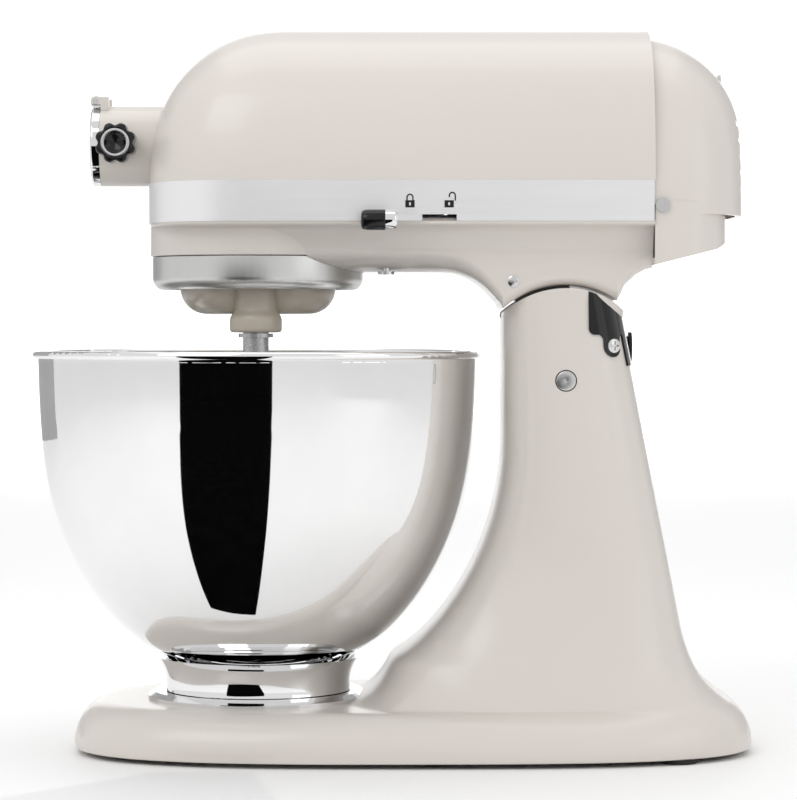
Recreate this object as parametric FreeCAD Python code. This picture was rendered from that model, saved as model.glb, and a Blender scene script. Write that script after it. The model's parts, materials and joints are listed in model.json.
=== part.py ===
import FreeCAD, Part
import math
import os

# Tilt-head stand mixer. Millimetres, +Z up, origin on the rest plane at the middle of the
# outline. The nose points to -X, the lock lever is on the -Y side, the speed lever on +Y.

# ---------------------------------------------------------------- general values
FIT = 0.05                      # radial running clearance of shafts and seats
GAP = 0.4                       # clearance between pieces that only lie side by side
CASTING_WALL = 4.0

# ---------------------------------------------------------------- base and column
FOOT_HEIGHT = 2.5
BASE_FRONT_X = -155.2
BASE_REAR_X = 176.8
BASE_HALF_WIDTH = 85.0
BASE_TOP_Z = 25.0
BASE_SHOULDER = 17.0            # how far the rounded edge of the base reaches in
COLUMN_HALF_WIDTH = 46.0
COLUMN_FRONT_X = 54.2
COLUMN_SWEEP_RADIUS = 136.0     # hollow of the column's front around the bowl
COLUMN_TOE_Z = 46.0             # below this the column's front drops straight into the base
COLUMN_POWER = 3.4              # squareness of the column's level sections
COLUMN_REAR_TOP_X = 117.0
COLUMN_REAR_SLOPE = 0.262       # rearward run of the column's back per mm down
SKIRT_RADIUS = 73.0             # hollow at the foot of the column's back

CORD_OUTLET_RADIUS = 5.4

# ---------------------------------------------------------------- hinge
HINGE_X = 84.5
HINGE_Z = 182.2
HINGE_PIN_RADIUS = 4.7
COLUMN_CROWN_RADIUS = 44.5      # column top, concentric with the hinge
HEAD_ARC_RADIUS = 46.0          # underside of the head over the column
LUG_HALF_WIDTH = 12.0
LUG_RADIUS = 14.0

# ---------------------------------------------------------------- rear cover of the column
REAR_COVER_FRONT_X = 95.5
REAR_COVER_LOW_Z = 204.3
REAR_COVER_PROUD = 0.9
REAR_TAB_LOW_Z = 193.4
REAR_TAB_HEADING = 62.0         # degrees from +X, seen from above
REAR_NOTCH_Z = 201.0            # the head's lug swings over this

# ---------------------------------------------------------------- head
HEAD_HALF_WIDTH = 62.0
HEAD_TOP_Z = 353.5
HEAD_FRONT_X = -118.6
NOSE_CENTRE_X = -60.6           # where the plan outline starts to round
BROW_CENTRE_X = -50.0           # where the top line starts to fall
PLAN_POWER = 2.5
BROW_POWER = 2.25
ARCH_POWER = 2.35
BAND_LOW_Z = 258.5
BAND_HIGH_Z = 278.0
BAND_THICKNESS = 1.3
BAND_PROUD = 0.3
BAND_SCREW_BACK = 3.6           # the screws sit this far behind the band's ends
HOUSING_SPLIT_Z = 266.0
HOUSING_REAR_X = 126.0
UNDERSIDE_Z = 235.0
UNDERSIDE_SCREW_XY = (-2.0, -30.0)
LOWER_HALF_WIDTH = 47.0
PARTITION_X = -8.0              # wall between the gear room and the motor room

# ---------------------------------------------------------------- end cover
COVER_STEP = 1.5                # the main housing stands this far proud of the cover
COVER_CENTRE_X = 120.0
COVER_CENTRE_Z = 297.5
COVER_RADIUS = 52.3
COVER_BOX_REAR_X = 163.6
COVER_BOX_TOP_Z = 270.0
COVER_BOX_LOW_Z = 249.0
COVER_SCREW_Z = 330.0
VENT_SLOTS = 5
VENT_PITCH = 8.0

# ---------------------------------------------------------------- bowl and clamp plate
BOWL_X = -65.5
BOWL_RIM_RADIUS = 111.3
BOWL_RIM_Z = 196.6
BOWL_WALL = 1.2
BOWL_BEAD_RADIUS = 2.0
BOWL_FOOT_RADIUS = 45.8
BOWL_NECK_RADIUS = 50.5
BOWL_NECK_Z = 45.5
CLAMP_PLATE_RADIUS = 54.5
CLAMP_FLANGE_HEIGHT = 3.6
BAYONET_TURN = 20.0             # degrees from locked to free
BAYONET_LUGS = 4
BAYONET_LUG_RADIUS = 2.4
LUG_HEIGHT = 4.5                # of the lugs' middle over the foot's edge

# ---------------------------------------------------------------- drum, ring and planetary
DRUM_RADIUS = 53.0
DRUM_LOW_Z = 242.5
RING_RADIUS = 52.0
RING_LOW_Z = 226.3
RING_HIGH_Z = 242.3
CARRIER_RADIUS = 38.5
CARRIER_LOW_Z = 214.4
CARRIER_HIGH_Z = 238.0
CARRIER_EDGE_RADIUS = 14.0
BOSS_RADIUS = 12.8
BOSS_LOW_Z = 205.3
AGITATOR_RADIUS = 6.3
AGITATOR_LOW_Z = 172.0
AGITATOR_END_RADIUS = 5.5       # finished end under the cross pin, where beaters slide on
AGITATOR_END_LENGTH = 6.8
AGITATOR_PIN_HEIGHT = 9.0       # of the cross pin over the shaft's end
CENTRE_SHAFT_RADIUS = 7.0

# ---------------------------------------------------------------- gears
PRESSURE_ANGLE = 25.0
BACKLASH = 0.35
ADDENDUM = 0.8                  # in modules
DEDENDUM = 1.1
RING_TEETH = 48
AGITATOR_TEETH = 15
RING_MODULE = 1.5
CENTRE_TEETH = 48
IDLER_TEETH = 12
TRAIN_MODULE = 5.0 / 3.0
WORM_WHEEL_TEETH = 30
WORM_STARTS = 2
WORM_MODULE = 1.5
WORM_RADIUS = 7.0               # pitch radius
CENTRE_BEVEL_TEETH = 24
HUB_BEVEL_TEETH = 12
BEVEL_MODULE = 1.5
BEVEL_FACE = 8.0
GEAR_FACE = 9.0

# ---------------------------------------------------------------- attachment hub
HUB_Z = 297.1
HUB_RADIUS = 19.8
HUB_FRONT_X = -142.3
HUB_BORE_RADIUS = 17.4
HUB_BORE_DEPTH = 30.0
HUB_CAP_THICKNESS = 4.6
HUB_CAP_HINGE_RADIUS = 1.5
HUB_KNOB_X = -133.0
HUB_KNOB_RADIUS = 9.75
HUB_KNOB_FLUTES = 8
HUB_SHAFT_RADIUS = 7.0
HUB_SQUARE = 8.0                # square drive socket

# ---------------------------------------------------------------- motor
MOTOR_Z = 304.0
STATOR_RADIUS = 43.0
STATOR_BORE = 26.5
STATOR_FRONT_X = 30.0
STATOR_LENGTH = 46.0
ARMATURE_RADIUS = 26.0
MOTOR_SHAFT_RADIUS = 4.5
MOTOR_BEARING_RADIUS = 9.0
FRONT_BEARING_X = -58.0
REAR_BEARING_X = 112.0

# ---------------------------------------------------------------- levers
LOCK_SLOT_FRONT_X = 11.6
LOCK_TRAVEL = 16.0
LOCK_SLOT_LENGTH = LOCK_TRAVEL + 4.0
LOCK_STANDOFF = 5.4             # lock rod to the widest line of the housing
LOCK_ROD_WIDTH = 3.0
LOCK_REACH = 34.0               # inner bar of the lock, from its leg to its finger
LOCK_ROD_Z = 259.8
LOCK_ROD_HEIGHT = 2.9
LOCK_KNOB_LENGTH = 17.6
LOCK_KNOB_HEIGHT = 9.8
SPEED_SLOT_FRONT_X = -29.0
SPEED_TRAVEL = 50.0
SPEED_SLOT_Z = 268.5
SPEED_KNOB_RADIUS = 7.0
SPEED_KNOB_LENGTH = 9.0
SPEED_PIN_RADIUS = 2.0

# ---------------------------------------------------------------- worked out from the above
AGITATOR_OFFSET = RING_MODULE * (RING_TEETH - AGITATOR_TEETH) / 2
WORM_WHEEL_RADIUS = WORM_MODULE * WORM_WHEEL_TEETH / 2
IDLER_Y = WORM_WHEEL_RADIUS + WORM_RADIUS
TRAIN_DISTANCE = TRAIN_MODULE * (CENTRE_TEETH + IDLER_TEETH) / 2
IDLER_X = BOWL_X + math.sqrt(TRAIN_DISTANCE ** 2 - IDLER_Y ** 2)
CENTRE_GEAR_Z = HOUSING_SPLIT_Z - 1.5
HUB_BEVEL_BACK = BEVEL_MODULE * CENTRE_BEVEL_TEETH / 2
GEARCASE_FLOOR_Z = CENTRE_GEAR_Z - 3.0
RING_GEAR_TOP_Z = GEARCASE_FLOOR_Z - 5.0
RING_GEAR_LOW_Z = RING_GEAR_TOP_Z - GEAR_FACE

X_AXIS = FreeCAD.Vector(1, 0, 0)
Y_AXIS = FreeCAD.Vector(0, 1, 0)
Z_AXIS = FreeCAD.Vector(0, 0, 1)


# ================================================================ shape helpers
def vec(x, y, z):
    return FreeCAD.Vector(x, y, z)


def cylinder(radius, length, start, direction=Z_AXIS):
    return Part.makeCylinder(radius, length, start, direction)


def tube(outer_radius, inner_radius, length, start, direction=Z_AXIS):
    return cylinder(outer_radius, length, start, direction).cut(
        cylinder(inner_radius, length, start, direction))


def box(x_low, x_high, y_low, y_high, z_low, z_high):
    return Part.makeBox(x_high - x_low, y_high - y_low, z_high - z_low, vec(x_low, y_low, z_low))


def polygon_prism(points, direction):
    """Closed polygon pushed along a direction."""
    return Part.Face(Part.makePolygon(points + points[:1])).extrude(direction)


def spline_edge(points):
    curve = Part.BSplineCurve()
    curve.interpolate(points)
    return curve.toShape()


def closed_spline(points):
    """Wire of one smooth closed curve."""
    curve = Part.BSplineCurve()
    curve.interpolate(Points=points, PeriodicFlag=True)
    return Part.Wire(curve.toShape())


def signed_power(value, power):
    return math.copysign(abs(value) ** power, value)


def superellipse_rise(share, power):
    """Height of a superellipse of unit size at a share of its half length."""
    return max(0.0, 1.0 - min(1.0, abs(share)) ** power) ** (1.0 / power)


def oval_wire(x_low, x_high, half_width, z, power, count=24):
    """Level superellipse outline."""
    middle = (x_low + x_high) / 2
    half_length = (x_high - x_low) / 2
    points = []
    for step in range(count):
        angle = 2 * math.pi * step / count
        x = middle + half_length * signed_power(math.cos(angle), 2 / power)
        y = half_width * signed_power(math.sin(angle), 2 / power)
        points.append(vec(x, y, z))
    return closed_spline(points)


def revolved(points, x, y, turn=360.0):
    """Closed outline of (radius, height) points or edges turned round a vertical axis."""
    outline = Part.makePolygon([vec(x + r, y, z) for r, z in points + points[:1]])
    return Part.Face(outline).revolve(vec(x, y, 0), Z_AXIS, turn)


def fused(shapes):
    return shapes[0].multiFuse(shapes[1:]).removeSplitter()


def screw(head_centre, direction, head_radius, head_height, shank_radius, shank_length):
    """Pan head with a cross recess; direction points from the head into the work."""
    head = cylinder(head_radius, head_height, head_centre - direction * head_height, direction)
    shank = cylinder(shank_radius, shank_length, head_centre, direction)
    side = X_AXIS if abs(direction.x) < 0.5 else Y_AXIS
    other = direction.cross(side)
    body = head.fuse(shank)
    blade = head_radius * 0.22
    arm = head_radius * 0.62
    top = head_centre - direction * head_height
    for long_way, short_way in ((side, other), (other, side)):
        corners = [
            top + long_way * arm + short_way * blade,
            top + long_way * arm - short_way * blade,
            top - long_way * arm - short_way * blade,
            top - long_way * arm + short_way * blade,
        ]
        body = body.cut(polygon_prism(corners, direction * (head_height * 0.5)))
    return body


# ================================================================ gear outlines
def involute(angle):
    return math.tan(angle) - angle


def half_tooth_angle(radius, teeth, pitch_radius, play):
    """Half the angle that an involute tooth fills at a radius."""
    base_radius = pitch_radius * math.cos(math.radians(PRESSURE_ANGLE))
    at_pitch = math.pi / (2 * teeth) - play / (4 * pitch_radius)
    if radius <= base_radius:
        return at_pitch + involute(math.radians(PRESSURE_ANGLE))
    swing = math.acos(base_radius / radius)
    return at_pitch + involute(math.radians(PRESSURE_ANGLE)) - involute(swing)


def tooth_edges(place, low, middle, high, half_angles, centre, next_centre):
    """Flank arc, tip line, flank arc and root line of one tooth; place maps (radius, angle)."""
    rise = [place(r, centre - h) for r, h in zip((low, middle, high), half_angles)]
    fall = [place(r, centre + h) for r, h in zip((high, middle, low), half_angles[::-1])]
    start_next = place(low, next_centre - half_angles[0])
    return [
        Part.Arc(*rise).toShape(),
        Part.LineSegment(rise[2], fall[0]).toShape(),
        Part.Arc(*fall).toShape(),
        Part.LineSegment(fall[2], start_next).toShape(),
    ]


def gear_wire(teeth, module, x, y, z, first_angle, play=BACKLASH, tip=ADDENDUM, root=DEDENDUM):
    """Outline of a spur gear; the first tooth points at first_angle (radians)."""
    pitch_radius = module * teeth / 2
    radii = (pitch_radius - root * module, pitch_radius, pitch_radius + tip * module)
    halves = [half_tooth_angle(radius, teeth, pitch_radius, play) for radius in radii]

    def place(radius, angle):
        return vec(x + radius * math.cos(angle), y + radius * math.sin(angle), z)

    edges = []
    for tooth in range(teeth):
        centre = first_angle + 2 * math.pi * tooth / teeth
        following = first_angle + 2 * math.pi * (tooth + 1) / teeth
        edges += tooth_edges(place, *radii, halves, centre, following)
    return Part.Wire(edges)


def spur_gear(teeth, module, x, y, z, face, first_angle):
    outline = gear_wire(teeth, module, x, y, z, first_angle)
    return Part.Face(outline).extrude(vec(0, 0, face))


def bevel_gear(teeth, mate_teeth, module, face, first_angle):
    """Bevel gear on the Z axis with its apex at the origin and its teeth below it."""
    pitch_radius = module * teeth / 2
    back = module * mate_teeth / 2
    cone = math.atan2(pitch_radius, back)
    cone_length = math.hypot(pitch_radius, back)
    virtual_radius = pitch_radius / math.cos(cone)
    virtual_teeth = teeth / math.cos(cone)
    radii = (virtual_radius - DEDENDUM * module, virtual_radius, virtual_radius + ADDENDUM * module)
    halves = [half_tooth_angle(r, virtual_teeth, virtual_radius, BACKLASH) for r in radii]
    spread = virtual_radius / pitch_radius

    def outline(share):
        def place(radius, angle):
            slope = cone + (radius - virtual_radius) / cone_length
            reach = back * math.tan(slope) * share
            return vec(reach * math.cos(angle), reach * math.sin(angle), -back * share)

        edges = []
        for tooth in range(teeth):
            centre = first_angle + 2 * math.pi * tooth / teeth
            following = first_angle + 2 * math.pi * (tooth + 1) / teeth
            wide = [half * spread for half in halves]
            edges += tooth_edges(place, *radii, wide, centre, following)
        return Part.Wire(edges)

    return Part.makeLoft([outline(1.0), outline(1.0 - face / cone_length)], True, True)


# ================================================================ pedestal
def base_solid(inset):
    """Base slab with a rounded top edge, as a stack of level outlines."""
    steps = ((0.0, 0.0), (0.18, 0.0), (0.45, 0.12), (0.7, 0.32), (0.9, 0.62), (1.0, 1.0))
    outlines = []
    for height_share, reach_share in steps:
        z = FOOT_HEIGHT + height_share * (BASE_TOP_Z - inset - FOOT_HEIGHT)
        reach = inset + reach_share * BASE_SHOULDER
        outlines.append(oval_wire(BASE_FRONT_X + reach, BASE_REAR_X - reach,
                                  BASE_HALF_WIDTH - reach, z, 3.0))
    return Part.makeLoft(outlines, True)


def column_front_x(z):
    """Front line of the column: upright, then curving forward round the bowl."""
    centre_z = HINGE_Z - 29.4
    centre_x = COLUMN_FRONT_X - COLUMN_SWEEP_RADIUS
    drop = max(0.0, centre_z - max(z, COLUMN_TOE_Z))
    return centre_x + math.sqrt(max(0.0, COLUMN_SWEEP_RADIUS ** 2 - drop ** 2))


def column_rear_x(z):
    """Back line of the column: a straight slope that sweeps out at its foot."""
    straight = COLUMN_REAR_TOP_X + COLUMN_REAR_SLOPE * (HINGE_Z + 10 - z) * 0.75
    foot_height = 62.0
    if z >= foot_height:
        return straight
    fall = foot_height - z
    return straight + SKIRT_RADIUS - math.sqrt(max(0.0, SKIRT_RADIUS ** 2 - fall ** 2))


def column_half_width(z):
    """Column's half width: even at the top, flaring to the base."""
    flare = max(0.0, (110.0 - z) / 85.0)
    return COLUMN_HALF_WIDTH + (BASE_HALF_WIDTH - BASE_SHOULDER - COLUMN_HALF_WIDTH - 4.0) * flare ** 2.2


def column_solid(inset):
    outlines = []
    for z in (BASE_TOP_Z - 8.0, 34.0, 46.0, 62.0, 84.0, 110.0, 140.0, 180.0, 206.0, 232.0):
        outlines.append(oval_wire(column_front_x(z) + inset, column_rear_x(z) - inset,
                                  column_half_width(z) - inset, z, COLUMN_POWER))
    return Part.makeLoft(outlines, True)


def crown_cutter(radius):
    """Everything above the column's round top, concentric with the hinge."""
    block = box(HINGE_X - 90, HINGE_X + 90, -90, 90, HINGE_Z, HINGE_Z + 90)
    return block.cut(cylinder(radius, 180, vec(HINGE_X, -90, HINGE_Z), Y_AXIS))


def rear_cover_pocket(clearance):
    """Space of the black cover round the column's top rear corners."""
    return box(REAR_COVER_FRONT_X - clearance, 130, -60, 60, REAR_COVER_LOW_Z - clearance, 235)


def rear_notch():
    """Opening in the column's back that the head's lug swings through."""
    half = LUG_HALF_WIDTH + 1.0
    return box(HINGE_X, HINGE_X + 60, -half, half, REAR_NOTCH_Z, HINGE_Z + 60)


def pedestal_casting():
    outer = base_solid(0.0).fuse(column_solid(0.0))
    outer = outer.cut(crown_cutter(COLUMN_CROWN_RADIUS))
    hollow_base = base_solid(CASTING_WALL)
    hollow_column = column_solid(CASTING_WALL)
    hollow_column = hollow_column.cut(crown_cutter(COLUMN_CROWN_RADIUS - CASTING_WALL))
    body = outer.cut(hollow_base).cut(hollow_column)
    slot_half_width = LUG_HALF_WIDTH + 1.0
    body = body.cut(box(HINGE_X - 60, HINGE_X + 60, -slot_half_width, slot_half_width,
                        HINGE_Z + 30.5, HINGE_Z + 60)).cut(rear_notch())
    body = body.cut(cylinder(HINGE_PIN_RADIUS + 0.02, 200, vec(HINGE_X, -100, HINGE_Z), Y_AXIS))
    body = body.cut(rear_cover_pocket(GAP))
    body = body.cut(cylinder(CORD_OUTLET_RADIUS, 20, gland_place() - vec(10, 0, 0), X_AXIS))
    for heading in (REAR_TAB_HEADING, -REAR_TAB_HEADING):
        place, outward = tab_place(heading)
        body = body.cut(cylinder(1.9, 12, place - outward * 8, outward))
    for x, y in clamp_screw_places():
        body = body.cut(cylinder(2.1, 30, vec(x, y, BASE_TOP_Z - 20)))
    for x, y, post_height in foot_places():
        post = cylinder(7.0, post_height, vec(x, y, FOOT_HEIGHT))
        body = body.fuse(post)
        body = body.cut(cylinder(2.6, 9.0, vec(x, y, FOOT_HEIGHT - 1)))
    return body


def foot_places():
    """Centre of each foot and the height of the post over it; the rear posts stand on the wall."""
    tall = BASE_TOP_Z - CASTING_WALL + 1.0 - FOOT_HEIGHT
    front_y = BASE_HALF_WIDTH - 40.0
    middle_y = BASE_HALF_WIDTH - 23.0
    rear_y = BASE_HALF_WIDTH - 26.0
    places = []
    for side in (-1, 1):
        places.append((BASE_FRONT_X + 43.0, side * front_y, tall))
        places.append((20.0, side * middle_y, tall))
        places.append((BASE_REAR_X - 39.0, side * rear_y, 8.0))
    return places


def clamp_screw_places():
    reach = 30.0
    return [(BOWL_X + reach * math.cos(math.radians(angle)), reach * math.sin(math.radians(angle)))
            for angle in (0, 90, 180, 270)]


def rubber_feet():
    feet = []
    for x, y, _post in foot_places():
        pad = cylinder(9.0, FOOT_HEIGHT - 0.02, vec(x, y, 0))
        pad = pad.makeFillet(0.8, [pad.Edges[2] if len(pad.Edges) > 2 else pad.Edges[0]])
        stud = cylinder(2.5, 7.0, vec(x, y, FOOT_HEIGHT - 0.1))
        feet.append(pad.fuse(stud))
    return Part.makeCompound(feet)


def bowl_clamp_plate():
    """Round plate with a lipped ring; the bowl's lugs turn under the lip."""
    top = BASE_TOP_Z + CLAMP_FLANGE_HEIGHT
    lip_outer = BOWL_FOOT_RADIUS - BOWL_WALL - 0.6
    ring_outer = lip_outer - BAYONET_LUG_RADIUS
    ring_inner = ring_outer - 3.0
    lip_z = top + 0.3 + LUG_HEIGHT + BAYONET_LUG_RADIUS + 0.4
    outline = [
        (0, BASE_TOP_Z + 0.02), (CLAMP_PLATE_RADIUS, BASE_TOP_Z + 0.02),
        (CLAMP_PLATE_RADIUS, BASE_TOP_Z + 1.6), (CLAMP_PLATE_RADIUS - 3.0, top),
        (ring_outer, top), (ring_outer, lip_z), (lip_outer, lip_z), (lip_outer, lip_z + 2.0),
        (ring_inner, lip_z + 2.0), (ring_inner, top), (0, top),
    ]
    plate = revolved(outline, BOWL_X, 0)
    for angle in lug_angles():
        gate = box(ring_outer - 0.4, lip_outer + 1, -BAYONET_LUG_RADIUS - 0.8, BAYONET_LUG_RADIUS + 0.8,
                   top + 0.01, lip_z + 5)
        gate.rotate(vec(0, 0, 0), Z_AXIS, angle + BAYONET_TURN)
        gate.translate(vec(BOWL_X, 0, 0))
        plate = plate.cut(gate)
    for x, y in clamp_screw_places():
        plate = plate.cut(cylinder(2.1, 30, vec(x, y, BASE_TOP_Z - 20)))
    return plate


def lug_angles():
    return [360.0 * (step + 0.5) / BAYONET_LUGS for step in range(BAYONET_LUGS)]


def clamp_plate_screws():
    top = BASE_TOP_Z + CLAMP_FLANGE_HEIGHT
    down = vec(0, 0, -1)
    return Part.makeCompound([screw(vec(x, y, top + 0.02), down, 4.0, 2.4, 2.05, 10.0)
                              for x, y in clamp_screw_places()])


def hinge_pin():
    half_length = column_half_width(HINGE_Z) - 0.4
    pin = cylinder(HINGE_PIN_RADIUS, 2 * half_length, vec(HINGE_X, -half_length, HINGE_Z), Y_AXIS)
    return pin.makeChamfer(0.5, [pin.Edges[0], pin.Edges[2]])


def tab_place(heading):
    """Point on the column's skin where a rear cover tab is screwed down, and the way out."""
    z = REAR_TAB_LOW_Z + 5.6
    outward = vec(math.cos(math.radians(heading)), math.sin(math.radians(heading)), 0)
    middle = (column_front_x(z) + column_rear_x(z)) / 2
    half_length = (column_rear_x(z) - column_front_x(z)) / 2
    half_width = column_half_width(z)
    share = abs(outward.x / half_length) ** COLUMN_POWER + abs(outward.y / half_width) ** COLUMN_POWER
    reach = share ** (-1 / COLUMN_POWER)
    return vec(middle, 0, z) + outward * reach, outward


def rear_cover():
    """Saddle round the column's back with a screwed tab at each rear corner."""
    saddle = column_solid(-REAR_COVER_PROUD).common(rear_cover_pocket(0.0))
    saddle = saddle.cut(column_solid(CASTING_WALL - 1.0)).cut(crown_cutter(COLUMN_CROWN_RADIUS))
    skin = column_solid(-REAR_COVER_PROUD - 0.6).cut(column_solid(-0.25))
    bridge = skin.common(box(COLUMN_REAR_TOP_X - 6, 130, -34, 34, REAR_NOTCH_Z - 12, REAR_COVER_LOW_Z + 1))
    saddle = saddle.fuse(bridge)
    for heading in (REAR_TAB_HEADING, -REAR_TAB_HEADING):
        place, outward = tab_place(heading)
        side = vec(-outward.y, outward.x, 0)
        round_end = cylinder(5.4, 8, place - outward * 4, outward)
        corners = [place - outward * 4 + side * 5.4, place - outward * 4 - side * 5.4]
        top = [corner + vec(0, 0, 6.5) for corner in corners[::-1]]
        stem = polygon_prism(corners + top, outward * 8)
        saddle = saddle.fuse(skin.common(round_end.fuse(stem)))
    for heading in (REAR_TAB_HEADING, -REAR_TAB_HEADING):
        place, outward = tab_place(heading)
        saddle = saddle.cut(cylinder(1.9, 20, place - outward * 10, outward))
        saddle = saddle.cut(cylinder(3.5, 10, place + outward * (REAR_COVER_PROUD + 0.18), outward))
    place = gland_place()
    outlet = cylinder(CORD_OUTLET_RADIUS, 14, place - vec(9, 0, 0), X_AXIS)
    return saddle.cut(outlet).cut(rear_notch())


def gland_place():
    """Centre of the cord outlet, in the cover's bridge on the +Y side of the back."""
    z = REAR_NOTCH_Z - 3.0
    return vec(column_rear_x(z) - 1.2, LUG_HALF_WIDTH + 8.0, z)


def cord_gland():
    place = gland_place()
    flange = tube(CORD_OUTLET_RADIUS + 2.0, 3.6, 1.6, place + vec(4.4, 0, 0), X_AXIS)
    sleeve = tube(CORD_OUTLET_RADIUS - 0.05, 3.6, 10.0, place - vec(4.0, 0, 0), X_AXIS)
    return flange.fuse(sleeve)


def rear_cover_screws():
    screws = []
    for heading in (REAR_TAB_HEADING, -REAR_TAB_HEADING):
        place, outward = tab_place(heading)
        head_seat = place + outward * (REAR_COVER_PROUD + 0.2)
        screws.append(screw(head_seat, outward * -1, 3.3, 1.2, 1.85, 7.0))
    return Part.makeCompound(screws)


def lock_catch():
    """Steel plate inside the column's front, which the lock's finger reaches for."""
    x = COLUMN_FRONT_X + CASTING_WALL + 5.5
    plate = box(x, x + 2.5, -34, -21, 186, 206)
    return plate.cut(box(x - 1, x + 4, -31, -25, 192, 202))


# ================================================================ head housings
def plan_half_width(x, inset=0.0):
    """Half width of the head seen from above."""
    reach = (NOSE_CENTRE_X - x) / (NOSE_CENTRE_X - HEAD_FRONT_X - inset)
    return (HEAD_HALF_WIDTH - inset) * superellipse_rise(max(0.0, reach), PLAN_POWER)


def brow_rise(x, inset=0.0):
    """Height of the head's top line over the band."""
    reach = (BROW_CENTRE_X - x) / (BROW_CENTRE_X - HEAD_FRONT_X - inset)
    rise = HEAD_TOP_Z - BAND_HIGH_Z - inset
    return rise * superellipse_rise(max(0.0, reach), BROW_POWER)


def plan_wire(inset, z, rear_x):
    """Outline of the head from above: round nose, straight sides, square rear."""
    half_length = NOSE_CENTRE_X - HEAD_FRONT_X - inset
    half_width = HEAD_HALF_WIDTH - inset
    points = []
    for step in range(13):
        angle = math.pi / 2 - math.pi * step / 12
        x = NOSE_CENTRE_X - half_length * signed_power(math.cos(angle), 2 / PLAN_POWER)
        points.append(vec(x, half_width * signed_power(math.sin(angle), 2 / PLAN_POWER), z))
    nose = spline_edge(points)
    rear_left = vec(rear_x, half_width, z)
    rear_right = vec(rear_x, -half_width, z)
    edges = [nose, Part.LineSegment(points[-1], rear_right).toShape(),
             Part.LineSegment(rear_right, rear_left).toShape(),
             Part.LineSegment(rear_left, points[0]).toShape()]
    return Part.Wire(edges)


def plan_prism(inset, z_low, z_high, rear_x=HOUSING_REAR_X):
    return Part.Face(plan_wire(inset, z_low, rear_x)).extrude(vec(0, 0, z_high - z_low))


def arch_wire(x, half_width, rise, z, power=ARCH_POWER):
    """Upright arch section with a level bottom edge."""
    points = []
    for step in range(17):
        angle = math.pi * step / 16
        y = half_width * signed_power(math.cos(angle), 2 / power)
        points.append(vec(x, y, z + rise * abs(math.sin(angle)) ** (2 / power)))
    return Part.Wire([spline_edge(points), Part.LineSegment(points[-1], points[0]).toShape()])


def dome_solid(inset, rear_x):
    """Upper part of the head over the band."""
    sections = []
    for angle in (9, 20, 32, 45, 58, 74, 90):
        share = math.cos(math.radians(angle)) ** (2 / BROW_POWER)
        x = BROW_CENTRE_X - (BROW_CENTRE_X - HEAD_FRONT_X - inset) * share
        sections.append(arch_wire(x, plan_half_width(x, inset), brow_rise(x, inset), BAND_HIGH_Z - 0.01))
    nose = Part.makeLoft(sections, True)
    straight = Part.Face(sections[-1]).extrude(vec(rear_x - BROW_CENTRE_X, 0, 0))
    below = box(HEAD_FRONT_X - 10, rear_x + 10, -90, 90, BAND_HIGH_Z - 40, BAND_HIGH_Z - 0.01)
    return nose.fuse(straight).cut(below)


def upper_housing():
    band_inset = BAND_THICKNESS - BAND_PROUD + 0.15
    outer = dome_solid(0.0, HOUSING_REAR_X).fuse(plan_prism(band_inset, HOUSING_SPLIT_Z, BAND_HIGH_Z))
    barrel_back = HEAD_FRONT_X + 20
    barrel = cylinder(HUB_RADIUS, barrel_back - HUB_FRONT_X, vec(HUB_FRONT_X, 0, HUB_Z), X_AXIS)
    outer = outer.fuse(barrel)
    inner = dome_solid(CASTING_WALL, HOUSING_REAR_X + 5).fuse(
        plan_prism(CASTING_WALL + band_inset, HOUSING_SPLIT_Z - 1, BAND_HIGH_Z, HOUSING_REAR_X + 5))
    bulkhead_x = HUB_FRONT_X + HUB_BORE_DEPTH
    boss = cylinder(HUB_RADIUS, 10, vec(bulkhead_x, 0, HUB_Z), X_AXIS)
    body = outer.cut(inner.cut(boss))
    bore = cylinder(HUB_BORE_RADIUS, HUB_BORE_DEPTH, vec(HUB_FRONT_X, 0, HUB_Z), X_AXIS)
    seat = cylinder(HUB_SHAFT_RADIUS + 3.0, 20, vec(bulkhead_x - 5, 0, HUB_Z), X_AXIS)
    body = body.cut(bore).cut(seat)
    body = body.cut(cylinder(3.1, 12, vec(HUB_KNOB_X, -HUB_RADIUS - 6, HUB_Z), Y_AXIS))
    for y in (-8.5, 8.5):
        post = box(HUB_FRONT_X, HUB_FRONT_X + 4, y - 1.6, y + 1.6, HUB_Z + HUB_RADIUS - 2.6,
                   HUB_Z + HUB_RADIUS + 4.0)
        ear = box(HUB_FRONT_X - 4.6, HUB_FRONT_X + 0.1, y - 1.6, y + 1.6, HUB_Z + HUB_RADIUS + 0.3,
                  HUB_Z + HUB_RADIUS + 4.0)
        body = body.fuse(post).fuse(ear)
    body = body.cut(box(SPEED_SLOT_FRONT_X - 4, SPEED_SLOT_FRONT_X + SPEED_TRAVEL + 8, 50, 70,
                        SPEED_SLOT_Z - 3, SPEED_SLOT_Z + 3))
    body = body.cut(hub_cap_pin_cutter())
    return body.removeSplitter()


def hub_cap_axis():
    return vec(HUB_FRONT_X - 2.4, 0, HUB_Z + HUB_RADIUS + 1.8)


def hub_cap_pin_cutter():
    centre = hub_cap_axis()
    return cylinder(HUB_CAP_HINGE_RADIUS + 0.02, 24, vec(centre.x, -12, centre.z), Y_AXIS)


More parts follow.
